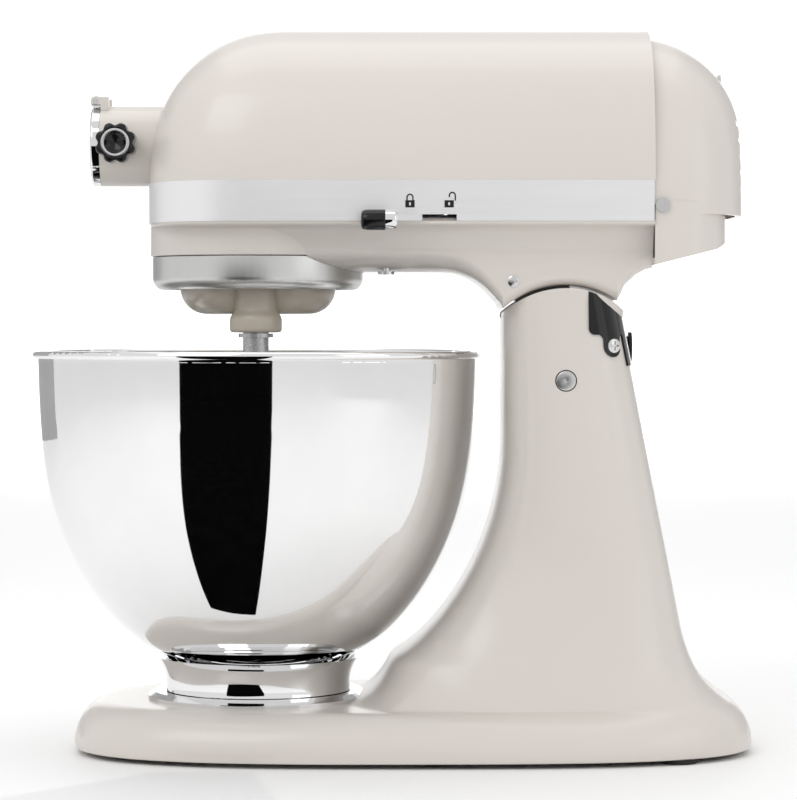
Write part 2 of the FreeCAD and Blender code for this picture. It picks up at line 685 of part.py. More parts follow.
def head_side_outline(inset):
    """Side view of the lower housing: drum, flat underside, hinge arc, rear slope."""
    low = UNDERSIDE_Z + inset
    start_angle = math.radians(130.0)
    end_angle = math.radians(53.0)
    arc_radius = HEAD_ARC_RADIUS + inset
    points = [vec(HINGE_X + arc_radius * math.cos(angle), 0, HINGE_Z + arc_radius * math.sin(angle))
              for angle in (start_angle, (start_angle + end_angle) / 2, end_angle)]
    top = HOUSING_SPLIT_Z + 1
    rear_x = HOUSING_REAR_X + (5 if inset else 0)
    front_x = HEAD_FRONT_X + 30
    heel = vec(HINGE_X + 42.5, 0, HINGE_Z + 54.0)
    corners = [points[2], heel, vec(rear_x, 0, heel.z), vec(rear_x, 0, top), vec(front_x, 0, top),
               vec(front_x, 0, low), vec(24.0, 0, low)]
    corners = [corner for corner in corners if corner.x <= rear_x + 0.01]
    edges = [Part.Arc(*points).toShape()]
    for first, second in zip(corners, corners[1:]):
        edges.append(Part.LineSegment(first, second).toShape())
    knee = vec(42.0, 0, low - 5.0)
    edges.append(Part.Arc(corners[-1], knee, points[0]).toShape())
    return Part.Wire(edges)


def lower_shape(inset):
    outline = Part.Face(head_side_outline(inset))
    side = outline.extrude(vec(0, 2 * HEAD_HALF_WIDTH, 0))
    side.translate(vec(0, -HEAD_HALF_WIDTH, 0))
    rear_x = HOUSING_REAR_X + (5 if inset else 0)
    wide = plan_wire(inset, BAND_LOW_Z, rear_x)
    middle = plan_wire(inset + 6.0, UNDERSIDE_Z + 4, rear_x)
    narrow = plan_wire(inset + HEAD_HALF_WIDTH - LOWER_HALF_WIDTH, HINGE_Z + 28, rear_x)
    taper = Part.makeLoft([narrow, middle, wide], True)
    return side.common(taper)


def lower_housing():
    band_inset = BAND_THICKNESS - BAND_PROUD + 0.15
    body = lower_shape(0.0)
    body = body.fuse(cylinder(DRUM_RADIUS, BAND_LOW_Z - DRUM_LOW_Z, vec(BOWL_X, 0, DRUM_LOW_Z)))
    body = body.fuse(plan_prism(band_inset, BAND_LOW_Z - 0.01, HOUSING_SPLIT_Z - 0.02))
    motor_room = lower_shape(CASTING_WALL).fuse(
        plan_prism(CASTING_WALL + band_inset, BAND_LOW_Z, HOUSING_SPLIT_Z + 1, HOUSING_REAR_X + 5))
    motor_room = motor_room.common(box(PARTITION_X + CASTING_WALL, 200, -90, 90, 200, 300))
    body = body.cut(motor_room)
    gear_room = plan_prism(CASTING_WALL + band_inset, GEARCASE_FLOOR_Z, HOUSING_SPLIT_Z + 1, PARTITION_X)
    body = body.cut(gear_room)
    body = body.cut(cylinder(RING_RADIUS - 4.0, RING_GEAR_TOP_Z - 200, vec(BOWL_X, 0, 200)))
    body = body.cut(cylinder(14.0, 40, vec(BOWL_X, 0, RING_GEAR_TOP_Z - 5)))
    body = body.cut(cylinder(RING_RADIUS + GAP, RING_HIGH_Z + 0.02 - 200, vec(BOWL_X, 0, 200)))
    body = body.cut(cylinder(9.0, 20, vec(IDLER_X, IDLER_Y, RING_GEAR_TOP_Z + 0.28)))
    body = body.cut(cylinder(2.02, 12, vec(*UNDERSIDE_SCREW_XY, UNDERSIDE_Z - 6)))
    lug_half = LUG_HALF_WIDTH
    lug = cylinder(LUG_RADIUS, 2 * lug_half, vec(HINGE_X, -lug_half, HINGE_Z), Y_AXIS)
    stem = polygon_prism([vec(HINGE_X - LUG_RADIUS, -lug_half, HINGE_Z),
                          vec(HINGE_X + LUG_RADIUS, -lug_half, HINGE_Z),
                          vec(HINGE_X + 3, -lug_half, UNDERSIDE_Z - 2),
                          vec(HINGE_X - 26, -lug_half, UNDERSIDE_Z - 2)], vec(0, 2 * lug_half, 0))
    body = body.fuse(lug.fuse(stem))
    body = body.cut(cylinder(HINGE_PIN_RADIUS + FIT, 60, vec(HINGE_X, -30, HINGE_Z), Y_AXIS))
    slot_low = LOCK_ROD_Z - LOCK_ROD_HEIGHT / 2 - 0.3
    body = body.cut(box(LOCK_SLOT_FRONT_X, LOCK_SLOT_FRONT_X + LOCK_SLOT_LENGTH, -70, -40,
                        slot_low, slot_low + LOCK_ROD_HEIGHT + 0.6))
    return body.removeSplitter()


def trim_band():
    inner_inset = BAND_THICKNESS - BAND_PROUD
    outer = plan_prism(-BAND_PROUD, BAND_LOW_Z + 0.02, BAND_HIGH_Z - 0.03, HOUSING_REAR_X - 0.5)
    inner = plan_prism(inner_inset, BAND_LOW_Z - 1, BAND_HIGH_Z + 1, HOUSING_REAR_X + 2)
    band = outer.cut(inner)
    band = band.cut(cylinder(HUB_RADIUS + 0.1, 40, vec(HUB_FRONT_X, 0, HUB_Z), X_AXIS))
    slot_low = LOCK_ROD_Z - LOCK_ROD_HEIGHT / 2 - 0.3
    band = band.cut(box(LOCK_SLOT_FRONT_X, LOCK_SLOT_FRONT_X + LOCK_SLOT_LENGTH, -70, -50,
                        BAND_LOW_Z - 1, slot_low + LOCK_ROD_HEIGHT + 0.6))
    band = band.cut(box(SPEED_SLOT_FRONT_X - 4, SPEED_SLOT_FRONT_X + SPEED_TRAVEL + 8, 50, 70,
                        SPEED_SLOT_Z - 3, SPEED_SLOT_Z + 3))
    return band


def band_screws():
    screws = []
    for side in (-1, 1):
        centre = vec(HOUSING_REAR_X + BAND_SCREW_BACK, side * (HEAD_HALF_WIDTH - COVER_STEP + GAP), 266.0)
        screws.append(screw(centre, vec(0, -side, 0), 3.4, 1.2, 1.6, 3.0))
    return Part.makeCompound(screws)


def cover_half_width(x, inset):
    share = max(0.0, x - HOUSING_REAR_X) / (COVER_CENTRE_X + COVER_RADIUS - HOUSING_REAR_X - inset)
    return (HEAD_HALF_WIDTH - COVER_STEP - inset) * superellipse_rise(share, 2.6)


def cover_solid(inset):
    """Rear cover: a round dome above, and a shallow box with a sloping bottom below."""
    radius = COVER_RADIUS - inset
    base_z = COVER_BOX_TOP_Z - 8
    sections = []
    front = HOUSING_REAR_X + 0.02 - (2 if inset else 0)
    for step in range(7):
        share = math.sin(math.radians(83.0 * step / 6))
        x = front + (COVER_CENTRE_X + radius - front) * share
        height = math.sqrt(max(1.0, radius ** 2 - max(0.0, x - COVER_CENTRE_X) ** 2))
        half_width = cover_half_width(x, inset)
        sections.append(arch_wire(x, half_width, COVER_CENTRE_Z + height - base_z, base_z))
    dome = Part.makeLoft(sections, True)
    shelf = []
    for z in (COVER_BOX_LOW_Z - 12.5 + inset, base_z + 6):
        half_length = COVER_BOX_REAR_X - inset - front
        half_width = HEAD_HALF_WIDTH - COVER_STEP - inset
        points = []
        for step in range(13):
            angle = math.pi / 2 - math.pi * step / 12
            x = front + half_length * signed_power(math.cos(angle), 0.62)
            points.append(vec(x, half_width * signed_power(math.sin(angle), 0.62), z))
        edges = [spline_edge(points), Part.LineSegment(points[-1], points[0]).toShape()]
        shelf.append(Part.Wire(edges))
    tray = Part.makeLoft(shelf, True)
    slope = polygon_prism([vec(front - 5, -90, 236.4 + inset), vec(157, -90, 245.5 + inset),
                           vec(168, -90, 252.0 + inset), vec(168, -90, 220), vec(front - 5, -90, 220)],
                          vec(0, 180, 0))
    return dome.fuse(tray.cut(slope))


def end_cover():
    shell = cover_solid(0.0).cut(cover_solid(CASTING_WALL - 1.0))
    for step in range(VENT_SLOTS):
        z = COVER_BOX_TOP_Z + 4.0 + VENT_PITCH * step
        shell = shell.cut(box(140, 190, -22, 22, z, z + 3.0))
    for side in (-1, 1):
        start = vec(HOUSING_REAR_X + BAND_SCREW_BACK, side * (HEAD_HALF_WIDTH - 12), 266.0)
        shell = shell.cut(cylinder(1.65, 20, start, vec(0, side, 0)))
    place = cover_screw_place()
    shell = shell.cut(cylinder(3.9, 10, place - vec(0.02, 0, 0), X_AXIS))
    return shell.cut(cylinder(1.85, 20, place - vec(12, 0, 0), X_AXIS))


def cover_screw_place():
    rise = COVER_SCREW_Z - COVER_CENTRE_Z
    return vec(COVER_CENTRE_X + math.sqrt(COVER_RADIUS ** 2 - rise ** 2) + 0.3, 0, COVER_SCREW_Z)


def end_cover_screw():
    return screw(cover_screw_place(), vec(-1, 0, 0), 3.6, 1.6, 1.8, 8.0)


def drip_ring():
    inner = CARRIER_RADIUS + 3.5
    outline = [(RING_RADIUS - 2.4, RING_LOW_Z), (RING_RADIUS, RING_LOW_Z + 2.5), (RING_RADIUS, RING_HIGH_Z),
               (inner + 3, RING_HIGH_Z), (inner, RING_HIGH_Z - 3), (inner, RING_LOW_Z)]
    return revolved(outline, BOWL_X, 0)


# ================================================================ gear train
def ring_gear():
    outer = cylinder(RING_RADIUS - 4.02, GEAR_FACE, vec(BOWL_X, 0, RING_GEAR_LOW_Z))
    space = gear_wire(RING_TEETH, RING_MODULE, BOWL_X, 0, RING_GEAR_LOW_Z, -math.pi / 2,
                      play=-BACKLASH, tip=DEDENDUM, root=ADDENDUM)
    return outer.cut(Part.Face(space).extrude(vec(0, 0, GEAR_FACE)))


def planetary_carrier():
    low = CARRIER_LOW_Z
    edge = CARRIER_EDGE_RADIUS
    profile = [vec(0, 0, CARRIER_HIGH_Z), vec(CARRIER_RADIUS, 0, CARRIER_HIGH_Z),
               vec(CARRIER_RADIUS, 0, low + edge)]
    bend = vec(CARRIER_RADIUS - edge * 0.293, 0, low + edge * 0.293)
    flat = vec(CARRIER_RADIUS - edge, 0, low)
    edges = [Part.LineSegment(profile[0], profile[1]).toShape(),
             Part.LineSegment(profile[1], profile[2]).toShape(),
             Part.Arc(profile[2], bend, flat).toShape(),
             Part.LineSegment(flat, vec(0, 0, low)).toShape(),
             Part.LineSegment(vec(0, 0, low), profile[0]).toShape()]
    disc = Part.Face(Part.Wire(edges)).revolve(vec(0, 0, 0), Z_AXIS, 360)
    disc.translate(vec(BOWL_X, 0, 0))
    boss = cylinder(BOSS_RADIUS, low + 6 - BOSS_LOW_Z, vec(BOWL_X, -AGITATOR_OFFSET, BOSS_LOW_Z))
    body = disc.fuse(boss)
    body = body.cut(cylinder(AGITATOR_RADIUS + FIT, 80, vec(BOWL_X, -AGITATOR_OFFSET, 190)))
    return body.cut(cylinder(CENTRE_SHAFT_RADIUS + 0.02, 80, vec(BOWL_X, 0, CARRIER_LOW_Z + 6)))


def centre_shaft():
    low = CARRIER_LOW_Z + 6.02
    top = HUB_Z - HUB_BEVEL_BACK / 2 - 0.5
    return cylinder(CENTRE_SHAFT_RADIUS, top - low, vec(BOWL_X, 0, low))


def centre_gear():
    heading = math.atan2(IDLER_Y, IDLER_X - BOWL_X)
    gear = spur_gear(CENTRE_TEETH, TRAIN_MODULE, BOWL_X, 0, CENTRE_GEAR_Z, GEAR_FACE, heading)
    return gear.cut(cylinder(CENTRE_SHAFT_RADIUS + 0.02, 40, vec(BOWL_X, 0, CENTRE_GEAR_Z - 5)))


def centre_bevel():
    gear = bevel_gear(CENTRE_BEVEL_TEETH, HUB_BEVEL_TEETH, BEVEL_MODULE, BEVEL_FACE, math.pi)
    gear.translate(vec(BOWL_X, 0, HUB_Z))
    return gear.cut(cylinder(CENTRE_SHAFT_RADIUS + 0.02, 60, vec(BOWL_X, 0, HUB_Z - 40)))


def hub_bevel():
    first = math.pi / HUB_BEVEL_TEETH
    gear = bevel_gear(HUB_BEVEL_TEETH, CENTRE_BEVEL_TEETH, BEVEL_MODULE, BEVEL_FACE, first)
    gear.rotate(vec(0, 0, 0), Y_AXIS, 90)
    gear.translate(vec(BOWL_X, 0, HUB_Z))
    return gear


def hub_drive_shaft():
    back = BOWL_X - HUB_BEVEL_BACK - 0.02
    front = HUB_FRONT_X + HUB_BORE_DEPTH - 12.0
    shaft = cylinder(HUB_SHAFT_RADIUS, back - front, vec(front, 0, HUB_Z), X_AXIS)
    half = HUB_SQUARE / 2
    return shaft.cut(box(front - 1, front + 14, -half, half, HUB_Z - half, HUB_Z + half))


def hub_bearing():
    start = HUB_FRONT_X + HUB_BORE_DEPTH + 0.02
    return tube(HUB_SHAFT_RADIUS + 2.98, HUB_SHAFT_RADIUS + FIT, 9.9, vec(start, 0, HUB_Z), X_AXIS)


def idler_shaft():
    low = RING_GEAR_TOP_Z + 0.8
    return cylinder(4.0, MOTOR_Z + 8 - low, vec(IDLER_X, IDLER_Y, low))


def idler_pinion():
    heading = math.atan2(-IDLER_Y, BOWL_X - IDLER_X) + math.pi / IDLER_TEETH
    gear = spur_gear(IDLER_TEETH, TRAIN_MODULE, IDLER_X, IDLER_Y, CENTRE_GEAR_Z - 0.5, GEAR_FACE + 1, heading)
    return gear.cut(cylinder(4.02, 40, vec(IDLER_X, IDLER_Y, CENTRE_GEAR_Z - 5)))


def worm_wheel():
    face = 7.0
    lead_angle = math.atan(WORM_STARTS * WORM_MODULE / (2 * WORM_RADIUS))
    twist = face * math.tan(lead_angle) / WORM_WHEEL_RADIUS
    first = -math.pi / 2 + math.pi / WORM_WHEEL_TEETH
    outlines = []
    for share in (-0.5, 0.0, 0.5):
        outlines.append(gear_wire(WORM_WHEEL_TEETH, WORM_MODULE, IDLER_X, IDLER_Y, MOTOR_Z + share * face,
                                  first + share * twist, play=0.9, tip=0.7, root=1.0))
    wheel = Part.makeLoft(outlines, True, True)
    return wheel.cut(cylinder(4.02, 40, vec(IDLER_X, IDLER_Y, MOTOR_Z - 20)))


def worm_thread():
    """Two-start thread round the X axis, centred on the worm wheel."""
    lead = WORM_STARTS * math.pi * WORM_MODULE
    root = WORM_RADIUS - 0.75 * WORM_MODULE
    crest = WORM_RADIUS + 0.7 * WORM_MODULE
    turns = 3
    starts = []
    for start in range(WORM_STARTS):
        helix = Part.makeHelix(lead, lead * turns, root)
        half_root = 0.27 * math.pi * WORM_MODULE
        half_crest = 0.11 * math.pi * WORM_MODULE
        corners = [vec(root - 0.4, 0, -half_root), vec(crest, 0, -half_crest),
                   vec(crest, 0, half_crest), vec(root - 0.4, 0, half_root)]
        profile = Part.makePolygon(corners + corners[:1])
        thread = Part.Wire(helix.Edges).makePipeShell([profile], True, True)
        thread.rotate(vec(0, 0, 0), Z_AXIS, 360.0 * start / WORM_STARTS)
        thread.translate(vec(0, 0, -lead * turns / 2))
        starts.append(thread)
    core = cylinder(root, lead * turns + 4, vec(0, 0, -lead * turns / 2 - 2))
    worm = starts[0].multiFuse(starts[1:] + [core])
    worm.rotate(vec(0, 0, 0), vec(1, 1, 1), 120)
    worm.translate(vec(IDLER_X, 0, MOTOR_Z))
    return worm


def armature_shaft():
    worm = worm_thread()
    shaft = cylinder(MOTOR_SHAFT_RADIUS, REAR_BEARING_X + 30 - FRONT_BEARING_X,
                     vec(FRONT_BEARING_X, 0, MOTOR_Z), X_AXIS)
    return worm.fuse(shaft)


def on_motor_shaft(outer_radius, x_low, length):
    return tube(outer_radius, MOTOR_SHAFT_RADIUS + 0.02, length, vec(x_low, 0, MOTOR_Z), X_AXIS)


def armature_core():
    core = on_motor_shaft(ARMATURE_RADIUS, STATOR_FRONT_X + 2, STATOR_LENGTH - 4)
    slots = 12
    for step in range(slots):
        angle = 2 * math.pi * step / slots
        y = (ARMATURE_RADIUS - 4) * math.cos(angle)
        z = MOTOR_Z + (ARMATURE_RADIUS - 4) * math.sin(angle)
        core = core.cut(cylinder(2.6, STATOR_LENGTH, vec(STATOR_FRONT_X, y, z), X_AXIS))
    return core


def motor_stator():
    stack = tube(STATOR_RADIUS, STATOR_BORE, STATOR_LENGTH, vec(STATOR_FRONT_X, 0, MOTOR_Z), X_AXIS)
    flat = 34.0
    middle = STATOR_FRONT_X + STATOR_LENGTH / 2
    reach = STATOR_RADIUS + 1
    keep = box(middle - 40, middle + 40, -reach, reach, MOTOR_Z - flat, MOTOR_Z + flat)
    return stack.common(keep)


def field_windings():
    coils = []
    for x in (STATOR_FRONT_X - 9.0, STATOR_FRONT_X + STATOR_LENGTH + 0.1):
        coils.append(tube(STATOR_RADIUS - 6, STATOR_BORE + 1.5, 8.9, vec(x, 0, MOTOR_Z), X_AXIS))
    return Part.makeCompound(coils)


def commutator():
    return on_motor_shaft(12.0, STATOR_FRONT_X + STATOR_LENGTH + 12.0, 13.0)


def motor_brushes():
    """Two carbon brushes in their tubes, one each side of the commutator."""
    x = STATOR_FRONT_X + STATOR_LENGTH + 18.5
    brushes = []
    for side in (-1, 1):
        start = vec(x, side * 12.3, MOTOR_Z)
        brushes.append(cylinder(3.2, 14.0, start, vec(0, side, 0)))
    return Part.makeCompound(brushes)


def brush_holders():
    x = STATOR_FRONT_X + STATOR_LENGTH + 18.5
    holders = []
    for side in (-1, 1):
        start = vec(x, side * 16.0, MOTOR_Z)
        holders.append(tube(5.5, 3.3, 22.0, start, vec(0, side, 0)))
    return Part.makeCompound(holders)


def cooling_fan():
    """Hub with blades, between the gear case and the field."""
    x_low = 8.0
    blades = [on_motor_shaft(10.0, x_low, 9.0)]
    count = 9
    for step in range(count):
        blade = box(x_low + 1, x_low + 8, -0.8, 0.8, MOTOR_Z + 9, MOTOR_Z + 38)
        blade.rotate(vec(x_low + 4.5, 0, MOTOR_Z + 20), Z_AXIS, 35)
        blade.rotate(vec(0, 0, MOTOR_Z), X_AXIS, 360.0 * step / count)
        blades.append(blade)
    return fused(blades)


def motor_bearings():
    front = on_bearing(FRONT_BEARING_X + 1)
    rear = on_bearing(REAR_BEARING_X)
    return Part.makeCompound([front, rear])


def on_bearing(x_low):
    return tube(MOTOR_BEARING_RADIUS, MOTOR_SHAFT_RADIUS + FIT, 8.0, vec(x_low, 0, MOTOR_Z), X_AXIS)


def rear_bearing_bracket():
    """Bridge across the housing that holds the rear motor bearing."""
    x = REAR_BEARING_X
    return bearing_bridge(x)


def bearing_bridge(x):
    half = HEAD_HALF_WIDTH - CASTING_WALL - 5.2
    bridge = box(x, x + 5, -half, half, MOTOR_Z - 9, MOTOR_Z + 9)
    ring = cylinder(MOTOR_BEARING_RADIUS + 2.6, 5, vec(x, 0, MOTOR_Z), X_AXIS)
    return bridge.fuse(ring).cut(cylinder(MOTOR_BEARING_RADIUS + 0.02, 20, vec(x - 5, 0, MOTOR_Z), X_AXIS))


def front_bearing_bracket():
    """Bridge across the housing that holds the front motor bearing."""
    return bearing_bridge(FRONT_BEARING_X + 1)


def governor_disc():
    return on_motor_shaft(16.0, REAR_BEARING_X + 14, 8.0)


def speed_control_plate():
    x = REAR_BEARING_X + 36
    plate = box(x, x + 3, -28, 28, MOTOR_Z - 26, MOTOR_Z + 18)
    return plate.cut(cylinder(7, 10, vec(x - 2, 0, MOTOR_Z), X_AXIS))


def centre_bearing():
    low = RING_GEAR_TOP_Z + 0.2
    high = CENTRE_GEAR_Z - GAP
    return tube(13.98, CENTRE_SHAFT_RADIUS + FIT, high - low, vec(BOWL_X, 0, low))


def idler_bearing():
    low = RING_GEAR_TOP_Z + 0.3
    return tube(8.98, 4.0 + FIT, GEARCASE_FLOOR_Z - 0.1 - low, vec(IDLER_X, IDLER_Y, low))


# ================================================================ agitator
def agitator_shaft():
    """Shaft with a finished end under its cross pin."""
    top = RING_GEAR_TOP_Z - 0.4
    step_z = AGITATOR_LOW_Z + AGITATOR_END_LENGTH
    shaft = cylinder(AGITATOR_RADIUS, top - step_z, vec(BOWL_X, -AGITATOR_OFFSET, step_z))
    end_place = vec(BOWL_X, -AGITATOR_OFFSET, AGITATOR_LOW_Z)
    end = cylinder(AGITATOR_END_RADIUS, AGITATOR_END_LENGTH, end_place)
    cross_z = AGITATOR_LOW_Z + AGITATOR_PIN_HEIGHT
    cross_hole = cylinder(2.02, 30, vec(BOWL_X - 15, -AGITATOR_OFFSET, cross_z), X_AXIS)
    return shaft.fuse(end).cut(cross_hole)


def agitator_pin():
    half = AGITATOR_RADIUS + 3.6
    cross_z = AGITATOR_LOW_Z + AGITATOR_PIN_HEIGHT
    return cylinder(2.0, 2 * half, vec(BOWL_X - half, -AGITATOR_OFFSET, cross_z), X_AXIS)


def agitator_pinion():
    gear = spur_gear(AGITATOR_TEETH, RING_MODULE, BOWL_X, -AGITATOR_OFFSET, RING_GEAR_LOW_Z + 0.3,
                     GEAR_FACE - 0.7, -math.pi / 2)
    return gear.cut(cylinder(AGITATOR_RADIUS + 0.02, 60, vec(BOWL_X, -AGITATOR_OFFSET, RING_GEAR_LOW_Z - 5)))


def agitator_collar():
    return tube(AGITATOR_RADIUS + 2.2, AGITATOR_RADIUS + 0.02, 2.0,
                vec(BOWL_X, -AGITATOR_OFFSET, BOSS_LOW_Z - 2.4))


# ================================================================ attachment hub controls
def hub_cap():
    x = HUB_FRONT_X - 0.15 - HUB_CAP_THICKNESS
    disc = cylinder(HUB_RADIUS, HUB_CAP_THICKNESS, vec(x, 0, HUB_Z), X_AXIS)
    disc = disc.makeFillet(1.4, [edge for edge in disc.Edges if abs(edge.CenterOfMass.x - x) < 0.01])
    centre = hub_cap_axis()
    knuckle = cylinder(3.0, 13.0, vec(centre.x, -6.5, centre.z), Y_AXIS)
    tab = box(x + 0.6, centre.x + 0.8, -6.5, 6.5, HUB_Z + HUB_RADIUS - 4, centre.z)
    body = disc.fuse(tab).fuse(knuckle)
    body = body.cut(cylinder(HUB_CAP_HINGE_RADIUS + FIT, 30, vec(centre.x, -15, centre.z), Y_AXIS))
    swing_room = box(HUB_FRONT_X, HUB_FRONT_X + 10, -20, 20, HUB_Z, HUB_Z + 40)
    return body.cut(swing_room)


def hub_cap_pin():
    centre = hub_cap_axis()
    return cylinder(HUB_CAP_HINGE_RADIUS, 20.2, vec(centre.x, -10.1, centre.z), Y_AXIS)


def hub_knob():
    """Fluted thumb screw of the attachment hub."""
    face = -HUB_RADIUS - 3.0
    knob = cylinder(HUB_KNOB_RADIUS, 13.0, vec(HUB_KNOB_X, face - 13.0, HUB_Z), Y_AXIS)
    knob = knob.makeFillet(1.2, [edge for edge in knob.Edges if abs(edge.CenterOfMass.y - face + 13) < 0.01])
    for step in range(HUB_KNOB_FLUTES):
        angle = 2 * math.pi * (step + 0.5) / HUB_KNOB_FLUTES
        reach = HUB_KNOB_RADIUS + 1.4
        place = vec(HUB_KNOB_X + reach * math.cos(angle), face - 14, HUB_Z + reach * math.sin(angle))
        knob = knob.cut(cylinder(2.6, 20, place, Y_AXIS))
    dish = cylinder(6.0, 0.9, vec(HUB_KNOB_X, face - 13.0, HUB_Z), Y_AXIS)
    hole = cylinder(3.02, 8.0, vec(HUB_KNOB_X, face - 7.0, HUB_Z), Y_AXIS)
    return knob.cut(dish).cut(hole)


def hub_knob_stem():
    face = -HUB_RADIUS - 3.0
    return cylinder(3.0, 7.4 + HUB_RADIUS + 3.0 - HUB_BORE_RADIUS, vec(HUB_KNOB_X, face - 6.9, HUB_Z), Y_AXIS)


# ================================================================ levers
def lock_knob():
    """Short rounded grip, outside the housing."""
    x = LOCK_SLOT_FRONT_X + 2.2 - LOCK_KNOB_LENGTH - 10.0
    y = -HEAD_HALF_WIDTH - LOCK_STANDOFF
    middle = vec(x, y, LOCK_ROD_Z - 1.0)
    grip = cylinder(LOCK_KNOB_HEIGHT / 2, LOCK_KNOB_LENGTH, middle, X_AXIS)
    grip = grip.makeFillet(1.4, [grip.Edges[0], grip.Edges[2]])
    half_width = LOCK_ROD_WIDTH / 2 + FIT
    half_height = LOCK_ROD_HEIGHT / 2 + FIT
    return grip.cut(box(x + 5, x + 5 + 2 * LOCK_KNOB_LENGTH, y - half_width, y + half_width,
                        LOCK_ROD_Z - half_height, LOCK_ROD_Z + half_height))


def lock_rod():
    y = -HEAD_HALF_WIDTH - LOCK_STANDOFF
    half = LOCK_ROD_WIDTH / 2
    start = LOCK_SLOT_FRONT_X + 2.2 - LOCK_KNOB_LENGTH - 4.8
    end = LOCK_SLOT_FRONT_X + 3.6
    far_end = end + LOCK_REACH
    z_low = LOCK_ROD_Z - LOCK_ROD_HEIGHT / 2
    z_high = LOCK_ROD_Z + LOCK_ROD_HEIGHT / 2
    outer = box(start, end, y - half, y + half, z_low, z_high)
    inner_y = -LUG_HALF_WIDTH - 15.0
    leg = box(end - LOCK_ROD_WIDTH, end, y - half, inner_y, z_low, z_high)
    bar = box(end - LOCK_ROD_WIDTH, far_end, inner_y - LOCK_ROD_WIDTH, inner_y, z_low, z_high)
    finger = box(far_end - LOCK_ROD_WIDTH, far_end, inner_y - LOCK_ROD_WIDTH, inner_y,
                 UNDERSIDE_Z + 6, z_high)
    return fused([outer, leg, bar, finger])


def speed_knob():
    x = SPEED_SLOT_FRONT_X + SPEED_TRAVEL
    y = HEAD_HALF_WIDTH + 3.0
    grip = cylinder(SPEED_KNOB_RADIUS, SPEED_KNOB_LENGTH, vec(x, y, SPEED_SLOT_Z), Y_AXIS)
    tip = y + SPEED_KNOB_LENGTH
    grip = grip.makeFillet(1.6, [edge for edge in grip.Edges if abs(edge.CenterOfMass.y - tip) < 0.01])
    return grip.cut(cylinder(SPEED_PIN_RADIUS + 0.02, 5, vec(x, y - 1, SPEED_SLOT_Z), Y_AXIS))


def speed_link():
    x = SPEED_SLOT_FRONT_X + SPEED_TRAVEL
    inner_y = HEAD_HALF_WIDTH - CASTING_WALL - 4.0
    pin_length = HEAD_HALF_WIDTH + 6.8 - inner_y
    pin = cylinder(SPEED_PIN_RADIUS, pin_length, vec(x, inner_y, SPEED_SLOT_Z), Y_AXIS)
    bar = box(x - 4, REAR_BEARING_X + 24, inner_y - 2, inner_y + 0.6, SPEED_SLOT_Z - 2.1, SPEED_SLOT_Z + 2.1)
    return pin.fuse(bar)


# ================================================================ bowl
def bowl_profile(inset):
    """Outer line of the bowl from rim to bottom centre, moved inwards by inset."""
    line = [(108.6, 192.0), (107.9, 170.0), (104.7, 137.2), (98.0, 110.5), (87.0, 86.7),
            (69.3, 63.0), (48.0, 47.6), (24.0, 42.4), (0.0, 41.0)]
    return [vec(max(0.0, r - inset) if r else 0.0, 0, z + inset * (1.0 if r < 60 else 0.0)) for r, z in line]


def bowl_shell():
    outer = bowl_profile(0.0)
    inner = bowl_profile(BOWL_WALL)
    inner[0] = vec(inner[0].x, 0, outer[0].z)
    edges = [spline_edge(outer), Part.LineSegment(outer[-1], inner[-1]).toShape(),
             spline_edge(inner[::-1]), Part.LineSegment(inner[0], outer[0]).toShape()]
    shell = Part.Face(Part.Wire(edges)).revolve(vec(0, 0, 0), Z_AXIS, 360)
    bead_radius = BOWL_BEAD_RADIUS
    bead = Part.makeTorus(BOWL_RIM_RADIUS - bead_radius, bead_radius, vec(0, 0, BOWL_RIM_Z - bead_radius))
    neck = tube(outer[0].x, inner[0].x, BOWL_RIM_Z - bead_radius - 191.5, vec(0, 0, 191.5))
    body = shell.fuse(neck).fuse(bead)
    body.translate(vec(BOWL_X, 0, 0))
    return body


def bowl_foot():
    """Waisted foot ring with bayonet lugs inside."""
    low = BASE_TOP_Z + CLAMP_FLANGE_HEIGHT + 0.3
    wall = BOWL_WALL
    outer = [vec(BOWL_NECK_RADIUS, 0, BOWL_NECK_Z), vec(BOWL_FOOT_RADIUS + 0.6, 0, BOWL_NECK_Z - 7),
             vec(BOWL_FOOT_RADIUS, 0, low)]
    inner = [vec(point.x - wall, 0, point.z) for point in outer]
    edges = [Part.Arc(*outer).toShape(), Part.LineSegment(outer[-1], inner[-1]).toShape(),
             Part.Arc(*inner[::-1]).toShape(), Part.LineSegment(inner[0], outer[0]).toShape()]
    foot = Part.Face(Part.Wire(edges)).revolve(vec(0, 0, 0), Z_AXIS, 360)
    for angle in lug_angles():
        heading = vec(math.cos(math.radians(angle)), math.sin(math.radians(angle)), 0)
        start = heading * (BOWL_FOOT_RADIUS - wall - BAYONET_LUG_RADIUS + 0.4) + vec(0, 0, low + LUG_HEIGHT)
        foot = foot.fuse(cylinder(BAYONET_LUG_RADIUS, BAYONET_LUG_RADIUS, start, heading))
    foot.translate(vec(BOWL_X, 0, 0))
    return foot.cut(bowl_inside())


def bowl_inside():
    """Solid of revolution under the bowl's outer line, used to trim the foot."""
    outer = bowl_profile(-0.02)
    edges = [spline_edge(outer), Part.LineSegment(outer[-1], vec(0, 0, outer[0].z)).toShape(),
             Part.LineSegment(vec(0, 0, outer[0].z), outer[0]).toShape()]
    body = Part.Face(Part.Wire(edges)).revolve(vec(0, 0, 0), Z_AXIS, 360)
    body.translate(vec(BOWL_X, 0, 0))
    return body


# ================================================================ screws of the head
def underside_screw():
    return screw(vec(*UNDERSIDE_SCREW_XY, UNDERSIDE_Z - 0.02), Z_AXIS, 4.0, 1.6, 2.0, 3.5)


